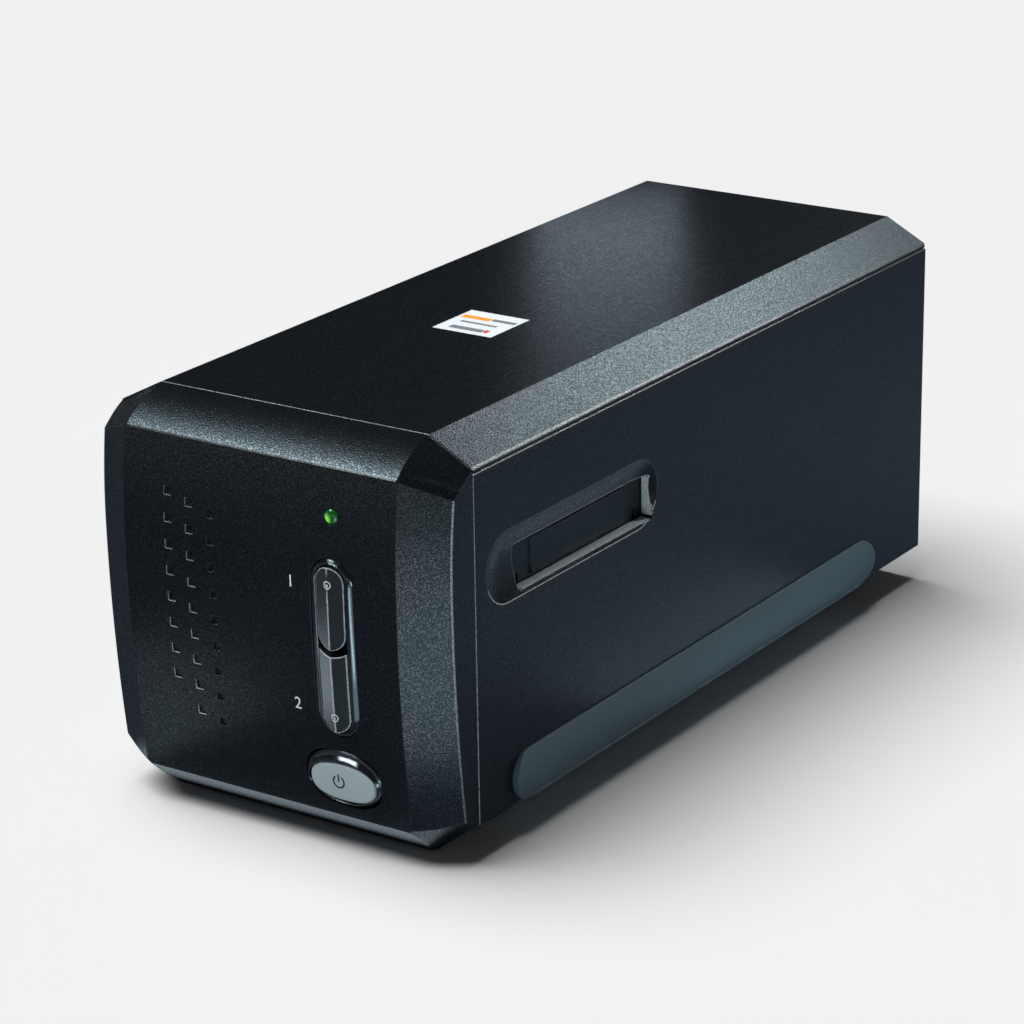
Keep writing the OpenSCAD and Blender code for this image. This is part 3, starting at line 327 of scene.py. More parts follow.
def moulded(name, colour, rough=0.45, grain=2600.0, depth=0.00006, wear=0.5, worn=None,
            radius=0.00045, specular=0.3, dust=0.01, coat=0.0, speckle=0.35, tint=(0.74, 0.9, 1.0, 1),
            polished=None, glints=0.0, uneven=0.0):
    """Moulded plastic or rubber: grain, slow patches of tone, worn edges and a little dust.

    Chosen rounded edges get a painted highlight in a lighter colour, by a share kept on the face corners.
    """
    material, tree, shader = new_material(name)
    place = place_of(tree)
    texture = use_group(tree, GRAIN, Vector=place, Grains_per_metre=grain)
    edges = use_group(tree, WEAR, Vector=place, Radius=radius, Amount=wear)
    settled = use_group(tree, DUST, Vector=place, Amount=dust)
    base = blended(tree, texture.outputs["Patches"], shade(colour, 0.9), shade(colour, 1.1))
    specks = maths(tree, "MULTIPLY", texture.outputs["Speckle"], speckle)
    base = blended(tree, specks, base, shade(colour, 1.9))
    # Painted glints: lighter specks in the base colour at the grain's glinting points; the coat weight
    # below gives the same points real gloss
    points = maths(tree, "MULTIPLY", texture.outputs["Glints"], 0.05 * glints)
    base = blended(tree, points, base, (0.11, 0.13, 0.15, 1))
    base = blended(tree, edges.outputs["Mask"], base, worn or shade(colour, 3.2))
    # Painted highlight: a lighter colour on chosen rounded edges where they would catch the light, broken
    # up by the grain's speckle
    painted_highlight = tree.nodes.new("ShaderNodeAttribute")
    painted_highlight.attribute_name = "painted_highlight"
    broken = ranged(tree, texture.outputs["Speckle"], -0.6, 1.0)
    highlight_share = maths(tree, "MULTIPLY", painted_highlight.outputs["Fac"], broken)
    base = blended(tree, highlight_share, base, polished or shade(colour, 8.0))
    base = blended(tree, settled.outputs["Mask"], base, (0.42, 0.41, 0.39, 1))
    feed(tree, shader.inputs["Base Color"], base)
    gloss = ranged(tree, texture.outputs["Patches"], 0.3, 0.7, rough - 0.01, rough + 0.01)
    gloss = maths(tree, "ADD", gloss, maths(tree, "MULTIPLY", texture.outputs["Glints"], -uneven))
    gloss = maths(tree, "SUBTRACT", gloss, maths(tree, "MULTIPLY", edges.outputs["Mask"], 0.12))
    gloss = maths(tree, "ADD", gloss, maths(tree, "MULTIPLY", settled.outputs["Mask"], 0.4), clamp=True)
    feed(tree, shader.inputs["Roughness"], gloss)
    grained = bump(tree, texture.outputs["Height"], depth, edges.outputs["Normal"])
    feed(tree, shader.inputs["Normal"], grained)
    shader.inputs["Specular IOR Level"].default_value = specular
    shader.inputs["Specular Tint"].default_value = tint
    if glints:
        coat = maths(tree, "MULTIPLY", texture.outputs["Glints"], glints)
    feed(tree, shader.inputs["Coat Weight"], coat)
    shader.inputs["Coat Roughness"].default_value = rough if glints else 0.08
    return material


def metal(name, colour, rough=0.3, stretch=(1, 0.02, 1), lines=3000.0, depth=0.00001, wear=0.3):
    """Metal with drawn lines, a slow change of tone and brighter worn edges."""
    material, tree, shader = new_material(name)
    place = place_of(tree)
    drawn = use_group(tree, BRUSHING, Vector=place, Stretch=stretch, Lines_per_metre=lines)
    edges = use_group(tree, WEAR, Vector=place, Radius=0.0002, Amount=wear)
    base = blended(tree, drawn.outputs["Tone"], shade(colour, 0.82), shade(colour, 1.12))
    base = blended(tree, edges.outputs["Mask"], base, shade(colour, 1.4))
    feed(tree, shader.inputs["Base Color"], base)
    gloss = ranged(tree, drawn.outputs["Height"], 0.3, 0.7, rough - 0.06, rough + 0.1)
    feed(tree, shader.inputs["Roughness"], gloss)
    lined = bump(tree, drawn.outputs["Height"], depth, edges.outputs["Normal"])
    feed(tree, shader.inputs["Normal"], lined)
    shader.inputs["Metallic"].default_value = 1.0
    return material


def clear_plastic(name, colour, lit_at, rough=0.05):
    """Tinted clear plastic with faint swirls, lit from within beside its middle."""
    material, tree, shader = new_material(name)
    place = place_of(tree)
    swirl = noise(tree, place, 300.0, 2.0)
    split = tree.nodes.new("ShaderNodeSeparateXYZ")
    feed(tree, split.inputs[0], place)
    across = maths(tree, "SUBTRACT", split.outputs["X"], lit_at[0] * MM)
    upward = maths(tree, "SUBTRACT", split.outputs["Z"], lit_at[1] * MM)
    squares = [maths(tree, "MULTIPLY", span, span) for span in (across, upward)]
    reach = maths(tree, "POWER", maths(tree, "ADD", *squares), 0.5)
    glow = ranged(tree, reach, 1.8 * MM, 0.3 * MM)
    light = blended(tree, glow, (0.0, 0.012, 0.002, 1), (0.26, 0.74, 0.07, 1))
    feed(tree, shader.inputs["Emission Color"], light)
    shader.inputs["Emission Strength"].default_value = 0.85
    feed(tree, shader.inputs["Base Color"], blended(tree, swirl, shade(colour, 0.8), shade(colour, 1.2)))
    feed(tree, shader.inputs["Roughness"], ranged(tree, swirl, 0.3, 0.7, rough, rough + 0.06))
    shader.inputs["Transmission Weight"].default_value = 0.3
    shader.inputs["Specular IOR Level"].default_value = 0.6
    return material


# The light colours given for chosen edges of the housing, doors and keys are painted highlights
FINISHES = {
    "housing_black": moulded("housing_black_grain", (0.0022, 0.0027, 0.0036), 0.29, 2450, 0.00008, 0.3,
                             specular=0.25, dust=0.001, radius=0.0004, speckle=0.5,
                             tint=(0.76, 0.92, 1.0, 1), worn=(0.05, 0.058, 0.064, 1),
                             polished=(0.60, 0.64, 0.66, 1),
                             glints=0.6, uneven=0.12),
    "strip_rubber": moulded("strip_rubber_satin", (0.048, 0.077, 0.090), 0.55, 4200, 0.00003, 0.25,
                            specular=0.35, dust=0.004, speckle=0.15),
    "door_plastic": moulded("door_plastic_satin", (0.0045, 0.006, 0.009), 0.34, 2900, 0.00006, 0.4,
                            specular=0.25, dust=0.003, worn=(0.08, 0.09, 0.10, 1),
                            polished=(0.12, 0.13, 0.14, 1)),
    "gloss_black": moulded("gloss_black_polished", (0.003, 0.003, 0.004), 0.09, 1500, 0.000002, 0.1,
                           specular=0.45, dust=0.002, coat=0.1, speckle=0.0, radius=0.0009),
    "key_grey": moulded("key_grey_satin", (0.010, 0.012, 0.013), 0.24, 3000, 0.00002, 0.3,
                        specular=0.45, dust=0.002, speckle=0.3, worn=(0.2, 0.21, 0.21, 1),
                        polished=(0.40, 0.41, 0.41, 1)),
    "button_silver": moulded("button_silver_satin", (0.26, 0.305, 0.32), 0.34, 3600, 0.000008, 0.4,
                             specular=0.5, dust=0.002, speckle=0.03, worn=(0.4, 0.42, 0.42, 1)),
    "lens_green": clear_plastic("lens_green_clear", (0.004, 0.05, 0.008), (LED_X - 1.0, LED_Z - 0.5)),
    "label_paper": moulded("label_paper_coated", (0.60, 0.613, 0.622), 0.38, 5200, 0.000006, 0.3,
                           specular=0.3, dust=0.004, speckle=0.0, worn=(0.66, 0.65, 0.62, 1)),
    "steel": metal("steel_ground", (0.60, 0.61, 0.62), 0.26),
    "socket_steel": metal("socket_steel_tinned", (0.66, 0.67, 0.68), 0.3, (1, 1, 0.05)),
    "circuit_board": moulded("circuit_board_mask", (0.012, 0.075, 0.032), 0.28, 2400, 0.00001, 0.5,
                             specular=0.5, worn=(0.45, 0.36, 0.16, 1), speckle=0.1),
    "inner_black": moulded("inner_black_moulded", (0.016, 0.016, 0.018), 0.5, 2600, 0.00004, 0.3),
    "chassis_plastic": moulded("chassis_plastic_moulded", (0.04, 0.045, 0.052), 0.5, 2400, 0.00005, 0.4),
    "lamp_white": moulded("lamp_white_moulded", (0.74, 0.75, 0.72), 0.5, 3000, 0.00001, 0.3, speckle=0.0),
    "bronze": metal("bronze_machined", (0.56, 0.39, 0.18), 0.28, (0.02, 1, 1)),
    "mirror_glass": metal("mirror_glass_silvered", (0.84, 0.86, 0.87), 0.08, (1, 1, 1), 400, 0.000001),
    "lens_metal": moulded("lens_metal_anodised", (0.02, 0.02, 0.023), 0.34, 5200, 0.00001, 0.8,
                          worn=(0.5, 0.5, 0.5, 1), specular=0.6),
    "gear_plastic": moulded("gear_plastic_acetal", (0.66, 0.64, 0.57), 0.42, 2200, 0.00001, 0.2,
                            speckle=0.0),
    "sheet_steel": metal("sheet_steel_zinc", (0.58, 0.60, 0.62), 0.36, (0.05, 1, 1), 1500),
    "motor_steel": metal("motor_steel_drawn", (0.62, 0.63, 0.64), 0.3, (1, 0.02, 1)),
}
SLOT_OF = {row["node"]: row["material_slot"] for row in frame["record"]["subparts"]}
BODIES = frame["record"]["behaviour"]["bodies"]
BODY_OF = {node: body for body, members in BODIES.items() for node in members}
for node, slot in SLOT_OF.items():
    materials = nodes[node].data.materials
    materials.clear()
    materials.append(FINISHES[slot])


# ---------------------------------------------------------------- softened mouldings
def finish_piece(shape, name, slot, body, *stands_for, smooth_angle=38):
    """Turns a bmesh into a piece that rides on its body and takes its slot's finish."""
    mesh = mesh_of(shape, name)
    mesh.polygons.foreach_set("use_smooth", [True] * len(mesh.polygons))
    mesh.set_sharp_from_angle(angle=math.radians(smooth_angle))
    piece = into_scene(name, mesh)
    mesh.materials.append(FINISHES[slot])
    evened = piece.modifiers.new("even_shading", "WEIGHTED_NORMAL")
    evened.weight = 100
    evened.keep_sharp = True
    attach(piece, body)
    if stands_for:
        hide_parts(*stands_for)
    return piece


def merged(node):
    """A merged copy of a CAD node's mesh, with its flat faces made whole."""
    shape = bmesh.new()
    shape.from_mesh(nodes[node].data)
    # A share of painted highlight on each face corner, nought until a rule sets it
    shape.loops.layers.float.new("painted_highlight")
    bmesh.ops.remove_doubles(shape, verts=shape.verts, dist=0.004 * MM)
    bmesh.ops.dissolve_limit(shape, angle_limit=math.radians(0.6), use_dissolve_boundaries=False,
                             verts=shape.verts, edges=shape.edges, delimit=set())
    return shape


def anywhere(middle):
    """The rule for a pass over all edges that are still sharp."""
    return True


def soften(shape, width, segments, angle, where=anywhere, clamped=True, painted_highlight=None):
    """Rounds edges sharper than an angle where a rule says, and marks their painted highlight by another.

    Edges beside a face that an earlier pass made are left out. The width is in millimetres.
    """
    done = shape.faces.layers.int.get("rounded") or shape.faces.layers.int.new("rounded")
    sharp = []
    for edge in shape.edges:
        if len(edge.link_faces) != 2 or edge.calc_face_angle(0.0) < math.radians(angle):
            continue
        if any(face[done] for face in edge.link_faces):
            continue
        if where((edge.verts[0].co + edge.verts[1].co) / 2 / MM):
            sharp.append(edge)
    made = bmesh.ops.bevel(shape, geom=sharp, offset=width * MM, offset_type="OFFSET", affect="EDGES",
                           segments=segments, profile=0.5, material=-1, clamp_overlap=clamped)
    layer = shape.loops.layers.float["painted_highlight"]
    widest = 1.2 * width * MM
    for face in made["faces"]:
        if face.calc_area() > widest * max(edge.calc_length() for edge in face.edges):
            continue
        face[done] = 1
        if painted_highlight:
            middle = face.calc_center_median() / MM
            for corner in face.loops:
                corner[layer] = painted_highlight(corner.vert.co / MM, middle, face.normal)


def softened(node, *passes, painted_highlight=None):
    """A moulding whose edges are rounded in turn, the large ones first."""
    shape = merged(node)
    for measures in passes:
        soften(shape, *measures, painted_highlight=painted_highlight)
    return finish_piece(shape, node + "_moulding", SLOT_OF[node], BODY_OF[node], node)


# Rules that choose edges by their middle, in millimetres
def near_front(middle, depth=1.0):
    """Edges less than a depth behind the crowned front."""
    return middle.y < face_y(middle.z) + depth


def over_joint(middle):
    """Edges on the outside of the joint between the case and its cover."""
    beside = JOINT_Z - 0.9 < middle.z < JOINT_Z + 1.6 and abs(middle.z - JOINT_Z) > 0.2
    return beside and abs(middle.x) > SIDE_X and middle.y > SEAM_Y + 0.5


def front_of_case(middle):
    """Edges of the case and its cover at the seam to the front bezel."""
    return middle.y < SEAM_Y + 0.5 and (abs(middle.x) > SIDE_X or middle.z > JOINT_Z + 0.6)


def bevel_side(middle):
    """Outer edges of the bezel's side bevels."""
    return abs(middle.x) > SIDE_X and middle.y < SEAM_Y - 6.0 and middle.z > BEVEL_FOOT_Z


def brow_foot(middle):
    """Lower edge of the bezel's brow."""
    low, high = BROW_FOOT_Z
    return middle.y < CREST_Y + 3.0 and low < middle.z < high and abs(middle.x) < 45.6


def pit_edge(middle):
    """Front edges of the square pits."""
    in_field = PITS_X[0] < middle.x < PITS_X[1] and PITS_Z[0] < middle.z < PITS_Z[1]
    return in_field and near_front(middle, 0.6)


def window_edge(middle):
    """Edge between a film window and its scooped recess."""
    return (55.0 < abs(middle.x) < 57.9 and SLOT_START - 0.5 < middle.y < SLOT_END + 0.5
            and middle.z > WINDOW_LO + 1.0)


def recess_rim(middle):
    """Outer edge of a film slot's recess and the lower edge of its window."""
    return abs(middle.x) > 57.0 and abs(middle.z - SLOT_Z) < 12.0


# Rules for the painted highlight on a rounded edge: by its corner, its face's middle and the way that
# looks
def faded(value, start, end):
    """Falls from one to nought as the value goes from start to end."""
    return min(1.0, max(0.0, (end - value) / (end - start)))


def cover_highlight(point, middle, look):
    """Painted highlight on the front edge of the top and along the edges over the case joint."""
    if middle.y < SEAM_Y + 1.5:
        return 0.32 if abs(middle.x) < 44.2 else 0.0
    if abs(middle.x) > SIDE_X and middle.z > JOINT_Z + 0.5:
        return 0.07 + 0.4 * faded(point.y, -20.0, 110.0)
    return 0.0


def case_highlight(point, middle, look):
    """Painted highlight along the case joint, on the front edges of the sides and in the film slots."""
    if middle.y < SEAM_Y + 1.5:
        return 0.42 if abs(middle.x) > 57.0 and middle.z > BEVEL_FOOT_Z else 0.0
    if abs(middle.x) > 57.0 and middle.z > 108.0:
        return 0.14 + 0.5 * faded(point.y, -20.0, 110.0)
    if abs(middle.x) < 54.5:
        return 0.0
    if SLOT_START - 0.6 < middle.y < SLOT_END + 0.6 and abs(middle.z - WINDOW_HI) < 0.7:
        return 1.0
    if abs(middle.y - SLOT_START) < 0.7 and WINDOW_LO < middle.z < WINDOW_HI:
        return 0.8
    nearest = min(max(middle.y, RECESS_Y[0]), RECESS_Y[1])
    out = math.hypot(middle.y - nearest, middle.z - SLOT_Z)
    if abs(middle.x) > 57.2 and abs(out - RECESS_R) < 0.9:
        return 0.65 if middle.z < SLOT_Z - 4 else 0.06
    return 0.0


def bezel_highlight(point, middle, look):
    """Painted highlight on the side bevels' outer edges, at the brow's foot and on the pits' lower edges.
    """
    if abs(middle.x) > 56.5 and middle.z < 105.0 and middle.y > CREST_Y + 4.0:
        return 0.48 - 0.34 * faded(point.z, 10.0, 95.0) if middle.y < SEAM_Y - 2.0 else 0.0
    if 109.5 < middle.z < 112.2 and abs(middle.x) < 44.5 and middle.y < CREST_Y + 3.5:
        return 0.08 + 0.3 * faded(-point.x, -44.0, 30.0)
    in_field = PITS_X[0] + 1.0 < middle.x < PITS_X[1] - 1.0 and PITS_Z[0] < middle.z < PITS_Z[1] - 1.0
    if in_field and max(look.x, look.z) > 0.3:
        return 0.15 + 0.5 * faded(middle.z, 35.0, 100.0)
    return 0.0


def key_highlight(point, middle, look):
    """Painted highlight along a key's outline and crease, but not under its icon."""
    if abs(point.x - KEYS_X) < 1.0 and (78.4 < point.z < 83.5 or 37.5 < point.z < 42.6):
        return 0.0
    return 0.75 if point.y < face_y(point.z, 0.2) else 0.0


# ---------------------------------------------------------------- rims
def pill_stations(half_w, half_h, arc=24, run=10):
    """Places around a pill shape, from its right shoulder over the top."""
    places = []
    straight = half_h - half_w
    for side, start in ((1, 0.0), (-1, math.pi)):
        for step in range(arc):
            turn = start + math.pi * step / arc
            places.append((half_w * math.cos(turn), half_w * math.sin(turn) + side * straight))
        for step in range(run):
            places.append((-side * half_w, side * straight * (1 - 2 * step / run)))
    return places


def oval_stations(half_w, half_h, count=72):
    """Places around an ellipse, from its right-hand end over the top."""
    turns = [2 * math.pi * step / count for step in range(count)]
    return [(half_w * math.cos(turn), half_h * math.sin(turn)) for turn in turns]


def rim(name, node, inner, inner_at, outer, outer_at, profile):
    """A closed rim drawn out from its inner outline to its outer one over the crowned front.

    Each row of the profile has the share of the way out and how far the rim stands proud.
    """
    shape = bmesh.new()
    bmesh.ops.create_circle(shape, segments=len(inner), radius=10 * MM)
    station = shape.verts.layers.int.new("station")
    for place, vert in enumerate(shape.verts):
        vert[station] = place

    def settle(verts, share, proud):
        for vert in verts:
            near, far = inner[vert[station]], outer[vert[station]]
            x = (inner_at[0] + near[0]) * (1 - share) + (outer_at[0] + far[0]) * share
            z = (inner_at[1] + near[1]) * (1 - share) + (outer_at[1] + far[1]) * share
            vert.co = Vector((x, face_y(z, proud), z)) * MM

    settle(shape.verts, *profile[0])
    edges = list(shape.edges)
    for share, proud in profile[1:] + profile[:1]:
        drawn = bmesh.ops.extrude_edge_only(shape, edges=edges)["geom"]
        settle(verts_of(drawn), share, proud)
        edges = edges_of(drawn)
    seal(shape)
    return finish_piece(shape, name, SLOT_OF[node], BODY_OF[node], node, smooth_angle=50)


rim("key_surround_rim", "key_surround",
    pill_stations(4.75, 23.95), (KEYS_X, SURROUND_Z), pill_stations(6.97, 25.62), (KEYS_X, SURROUND_Z),
    [(0.0, -6.4), (0.0, 0.30), (0.02, 0.50), (0.07, 0.64), (0.15, 0.70), (0.24, 0.69), (0.34, 0.65),
     (0.44, 0.585), (0.54, 0.495), (0.64, 0.38), (0.74, 0.235), (0.83, 0.07), (0.91, -0.12), (0.97, -0.33),
     (1.0, -0.55), (1.0, -6.4)])
rim("power_button_rim", "power_ring",
    oval_stations(11.25, 5.85), (BUTTON_X, BUTTON_Z), oval_stations(12.42, 8.37), (BUTTON_X, RING_Z),
    [(0.0, -5.4), (0.0, -0.10), (0.02, 0.40), (0.05, 0.72), (0.10, 0.92), (0.16, 1.0), (0.23, 0.96),
     (0.31, 0.82), (0.40, 0.62), (0.50, 0.40), (0.62, 0.18), (0.76, 0.0), (0.90, -0.14), (1.0, -0.28),
     (1.0, -5.4)])

# Each pass: width in millimetres, segments, least angle in degrees, rule and whether it is clamped
# The rules given last pick the rounded edges that get a painted highlight
softened("power_button", (0.8, 4, 30, near_front))
for key in ("scan_key_upper", "scan_key_lower"):
    softened(key, (0.3, 3, 25, near_front), painted_highlight=key_highlight)
for door in ("door_right", "door_left"):
    softened(door, (0.3, 2, 30))
for strip in ("strip_right", "strip_left"):
    softened(strip, (0.6, 3, 30))
softened("front_bezel", (0.35, 3, 22, bevel_side, False), (0.4, 3, 18, brow_foot, False),
         (0.16, 2, 40, pit_edge, False), (0.3, 2, 18), painted_highlight=bezel_highlight)
softened("top_cover", (0.75, 4, 22, over_joint), (0.3, 2, 22, front_of_case, False), (0.3, 2, 20),
         painted_highlight=cover_highlight)
softened("lower_case", (0.4, 3, 22, over_joint), (0.3, 2, 22, front_of_case, False),
         (0.22, 2, 22, window_edge, False), (0.18, 2, 20, recess_rim, False), (0.2, 2, 22),
         painted_highlight=case_highlight)
softened("rear_panel", (0.25, 2, 22))


# ---------------------------------------------------------------- lens, icons and prints
def dome():
    """Domed clear lens of the indicator, turned about its own axis."""
    shape = bmesh.new()
    outline = ((0.0, 0.75), (0.6, 0.71), (1.15, 0.58), (1.6, 0.38), (1.95, 0.10), (2.15, -0.25),
               (2.2, -0.7), (2.2, -8.5), (1.4, -8.7), (0.0, -8.7))
    front = face_y(LED_Z)
    verts = [shape.verts.new(Vector((LED_X + radius, front - proud, LED_Z)) * MM)
             for radius, proud in outline]
    edges = [shape.edges.new(pair) for pair in zip(verts, verts[1:])]
    bmesh.ops.spin(shape, geom=verts + edges, cent=Vector((LED_X, 0, LED_Z)) * MM, axis=(0, 1, 0),
                   angle=math.tau, steps=36, use_merge=True)
    seal(shape)
    return finish_piece(shape, "indicator_dome", "lens_green", BODY_OF["led_lens"], "led_lens")


dome()

# Drawing planes for the prints: where each stands, and the way from it to the surface
FRONT = (Matrix(((1, 0, 0, 0), (0, 0, 1, -200), (0, 1, 0, 0), (0, 0, 0, 1))), Vector((0, 1, 0)))
TOP = (Matrix(((1, 0, 0, 0), (0, 1, 0, 0), (0, 0, 1, 200), (0, 0, 0, 1))), Vector((0, 0, -1)))


def bar(shape, centre, size, turn=0.0, cuts=1):
    """A flat bar on the drawing plane."""
    place = Matrix.Translation((centre[0], centre[1], 0)) @ Matrix.Rotation(math.radians(turn), 4, "Z")
    place = place @ Matrix.Diagonal((size[0], size[1], 1, 1))
    bmesh.ops.create_grid(shape, x_segments=cuts, y_segments=1, size=0.5, matrix=place)


def loop(shape, centre, radius, width, gap=0.0, segments=40):
    """A flat ring on the drawing plane, open at its top by a gap in degrees."""
    made = bmesh.ops.create_circle(shape, segments=segments, radius=radius,
                                   matrix=Matrix.Translation((centre[0], centre[1], 0)))["verts"]
    edges = list({edge for vert in made for edge in vert.link_edges})
    drawn = bmesh.ops.extrude_edge_only(shape, edges=edges)["geom"]
    inner = verts_of(drawn)
    bmesh.ops.scale(shape, verts=inner, vec=(1 - width / radius, 1 - width / radius, 1),
                    space=Matrix.Translation((-centre[0], -centre[1], 0)))
    cut = []
    for face in {face for vert in inner for face in vert.link_faces}:
        middle = face.calc_center_median()
        if abs(math.degrees(math.atan2(middle.x - centre[0], middle.y - centre[1]))) < gap / 2:
            cut.append(face)
    bmesh.ops.delete(shape, geom=cut, context="FACES")


def numeral(shape, figure, right, base, height):
    """A plain figure on the drawing plane, set to the right-hand margin."""
    letters = bpy.data.curves.new("figure", "FONT")
    letters.body = figure
    letters.size = height / 0.7
    letters.align_x = "RIGHT"
    letters.resolution_u = 6
    holder = bpy.data.objects.new("figure", letters)
    flat = bpy.data.meshes.new_from_object(holder)
    flat.transform(Matrix.Translation((right, base, 0)))
    shape.from_mesh(flat)
    bpy.data.objects.remove(holder)
    bpy.data.curves.remove(letters)
    bpy.data.meshes.remove(flat)


def laid_on(name, shape, plane, node, proud, slot, material=None):
    """Lays flat shapes on a node's surface as a thin layer that stands proud of it."""
    matrix, inward = plane
    surface = BVHTree.FromBMesh(merged(node))
    bmesh.ops.remove_doubles(shape, verts=shape.verts, dist=0.0001)
    bmesh.ops.transform(shape, verts=shape.verts, matrix=Matrix.Scale(MM, 4) @ matrix)
    for vert in shape.verts:
        hit = surface.ray_cast(vert.co, inward)[0]
        vert.co = hit - inward * proud * MM
    bmesh.ops.recalc_face_normals(shape, faces=shape.faces)
    lower = bmesh.ops.extrude_face_region(shape, geom=list(shape.faces))["geom"]
    bmesh.ops.translate(shape, verts=verts_of(lower), vec=inward * (proud + 0.05) * MM)
    bmesh.ops.recalc_face_normals(shape, faces=shape.faces)
    piece = finish_piece(shape, name, slot, BODY_OF[node], smooth_angle=30)
    if material:
        piece.data.materials[0] = material
    return piece


def key_icons():
    """A ring on each scan key, with two crossed bars in the upper one and one in the lower."""
    for name, node, z, marks in (
        ("upper_key_icon", "scan_key_upper", UPPER_ICON_Z, ((45, 0.5), (-45, 0.5))),
        ("lower_key_icon", "scan_key_lower", LOWER_ICON_Z, ((-45, 0.0),)),
    ):
        shape = bmesh.new()
        loop(shape, (KEYS_X, z), 1.15, 0.26)
        for turn, shift in marks:
            bar(shape, (KEYS_X, z - shift * 0.4), (1.1, 0.26), turn, 4)
        laid_on(name, shape, FRONT, node, 0.06, "label_paper")


def power_symbol():
    """An open ring and a bar on the power button."""
    shape = bmesh.new()
    loop(shape, (22.9, 21.5), 1.95, 0.42, 70)
    bar(shape, (22.9, 22.6), (0.42, 2.2))
    laid_on("power_symbol", shape, FRONT, "power_button", 0.08, "inner_black")


def key_numbers():
    """Plain numerals beside the scan keys."""
    shape = bmesh.new()
    numeral(shape, "1", 12.2, 76.0, 3.4)
    numeral(shape, "2", 12.2, 40.6, 3.4)
    laid_on("key_numbers", shape, FRONT, "front_bezel", 0.03, "label_paper")


def label_print():
    """Plain coloured bars on the top label, each placed and sized in shares of its width."""
    inks = (("orange", (0.80, 0.27, 0.03)), ("grey", (0.16, 0.165, 0.17)), ("red", (0.62, 0.035, 0.03)))
    ink_of = {name: moulded("label_%s_ink" % name, colour, 0.4, 5200, 0.000004, 0.2, speckle=0.0)
              for name, colour in inks}
    for name, ink, bars in (
        ("label_orange_bar", "orange", ((0.29, 0.30, 0.48, 0.13),)),
        ("label_grey_bars", "grey",
         ((0.75, 0.28, 0.40, 0.10), (0.48, 0.53, 0.62, 0.065), (0.46, 0.81, 0.56, 0.13))),
        ("label_red_mark", "red", ((0.79, 0.80, 0.07, 0.13),)),
    ):
        shape = bmesh.new()
        for across, down, length, height in bars:
            middle = (LABEL_W * (across - 0.5), LABEL_BACK_Y - LABEL_W * down)
            bar(shape, middle, (LABEL_W * length, LABEL_W * height))
        laid_on(name, shape, TOP, "top_label", 0.02, "label_paper", ink_of[ink])


def slot_light_sheets():
    """Light grey sheets on the sill and the rear end of both film windows; their lightness is partly
    painted light that makes up for the shade in the slots.
    """
    # Painted light: this grey is made light to make up for the shade in the slots
    lightened_grey = moulded("slot_sheet_lightened", (0.33, 0.39, 0.40), 0.4, 2300, 0.00008, 0.2, specular=0.4,
                     speckle=0.8, dust=0.0)
    sill = ((54.3, SLOT_START + 1.2), (57.5, SLOT_START + 1.2), (57.5, SLOT_END - 1.2),
            (54.3, SLOT_END - 0.1))
    wall = ((54.3, WINDOW_LO + 0.1), (57.7, WINDOW_LO + 0.1), (57.3, 75.0), (56.75, 78.0),
            (56.5, SLOT_Z), (56.7, 82.5), (56.9, WINDOW_HI - 0.1), (54.3, WINDOW_HI - 0.1))
    for name, side in (("slot_lining_right", 1), ("slot_lining_left", -1)):
        shape = bmesh.new()
        flat = [shape.verts.new(Vector((side * x, y, WINDOW_LO + 0.02)) * MM) for x, y in sill]
        upright = [shape.verts.new(Vector((side * x, SLOT_END - 0.02, z)) * MM) for x, z in wall]
        faces = [shape.faces.new(flat), shape.faces.new(upright)]
        shape.normal_update()
        for face, look in zip(faces, (Vector((0, 0, 1)), Vector((0, -1, 0)))):
            if face.normal.dot(look) < 0:
                face.normal_flip()
            raised = bmesh.ops.extrude_face_region(shape, geom=[face])["geom"]
            bmesh.ops.translate(shape, verts=verts_of(raised), vec=look * 0.08 * MM)
        bmesh.ops.recalc_face_normals(shape, faces=shape.faces)
        piece = finish_piece(shape, name, "chassis_plastic", BODY_OF["lower_case"], smooth_angle=30)
        piece.data.materials[0] = lightened_grey


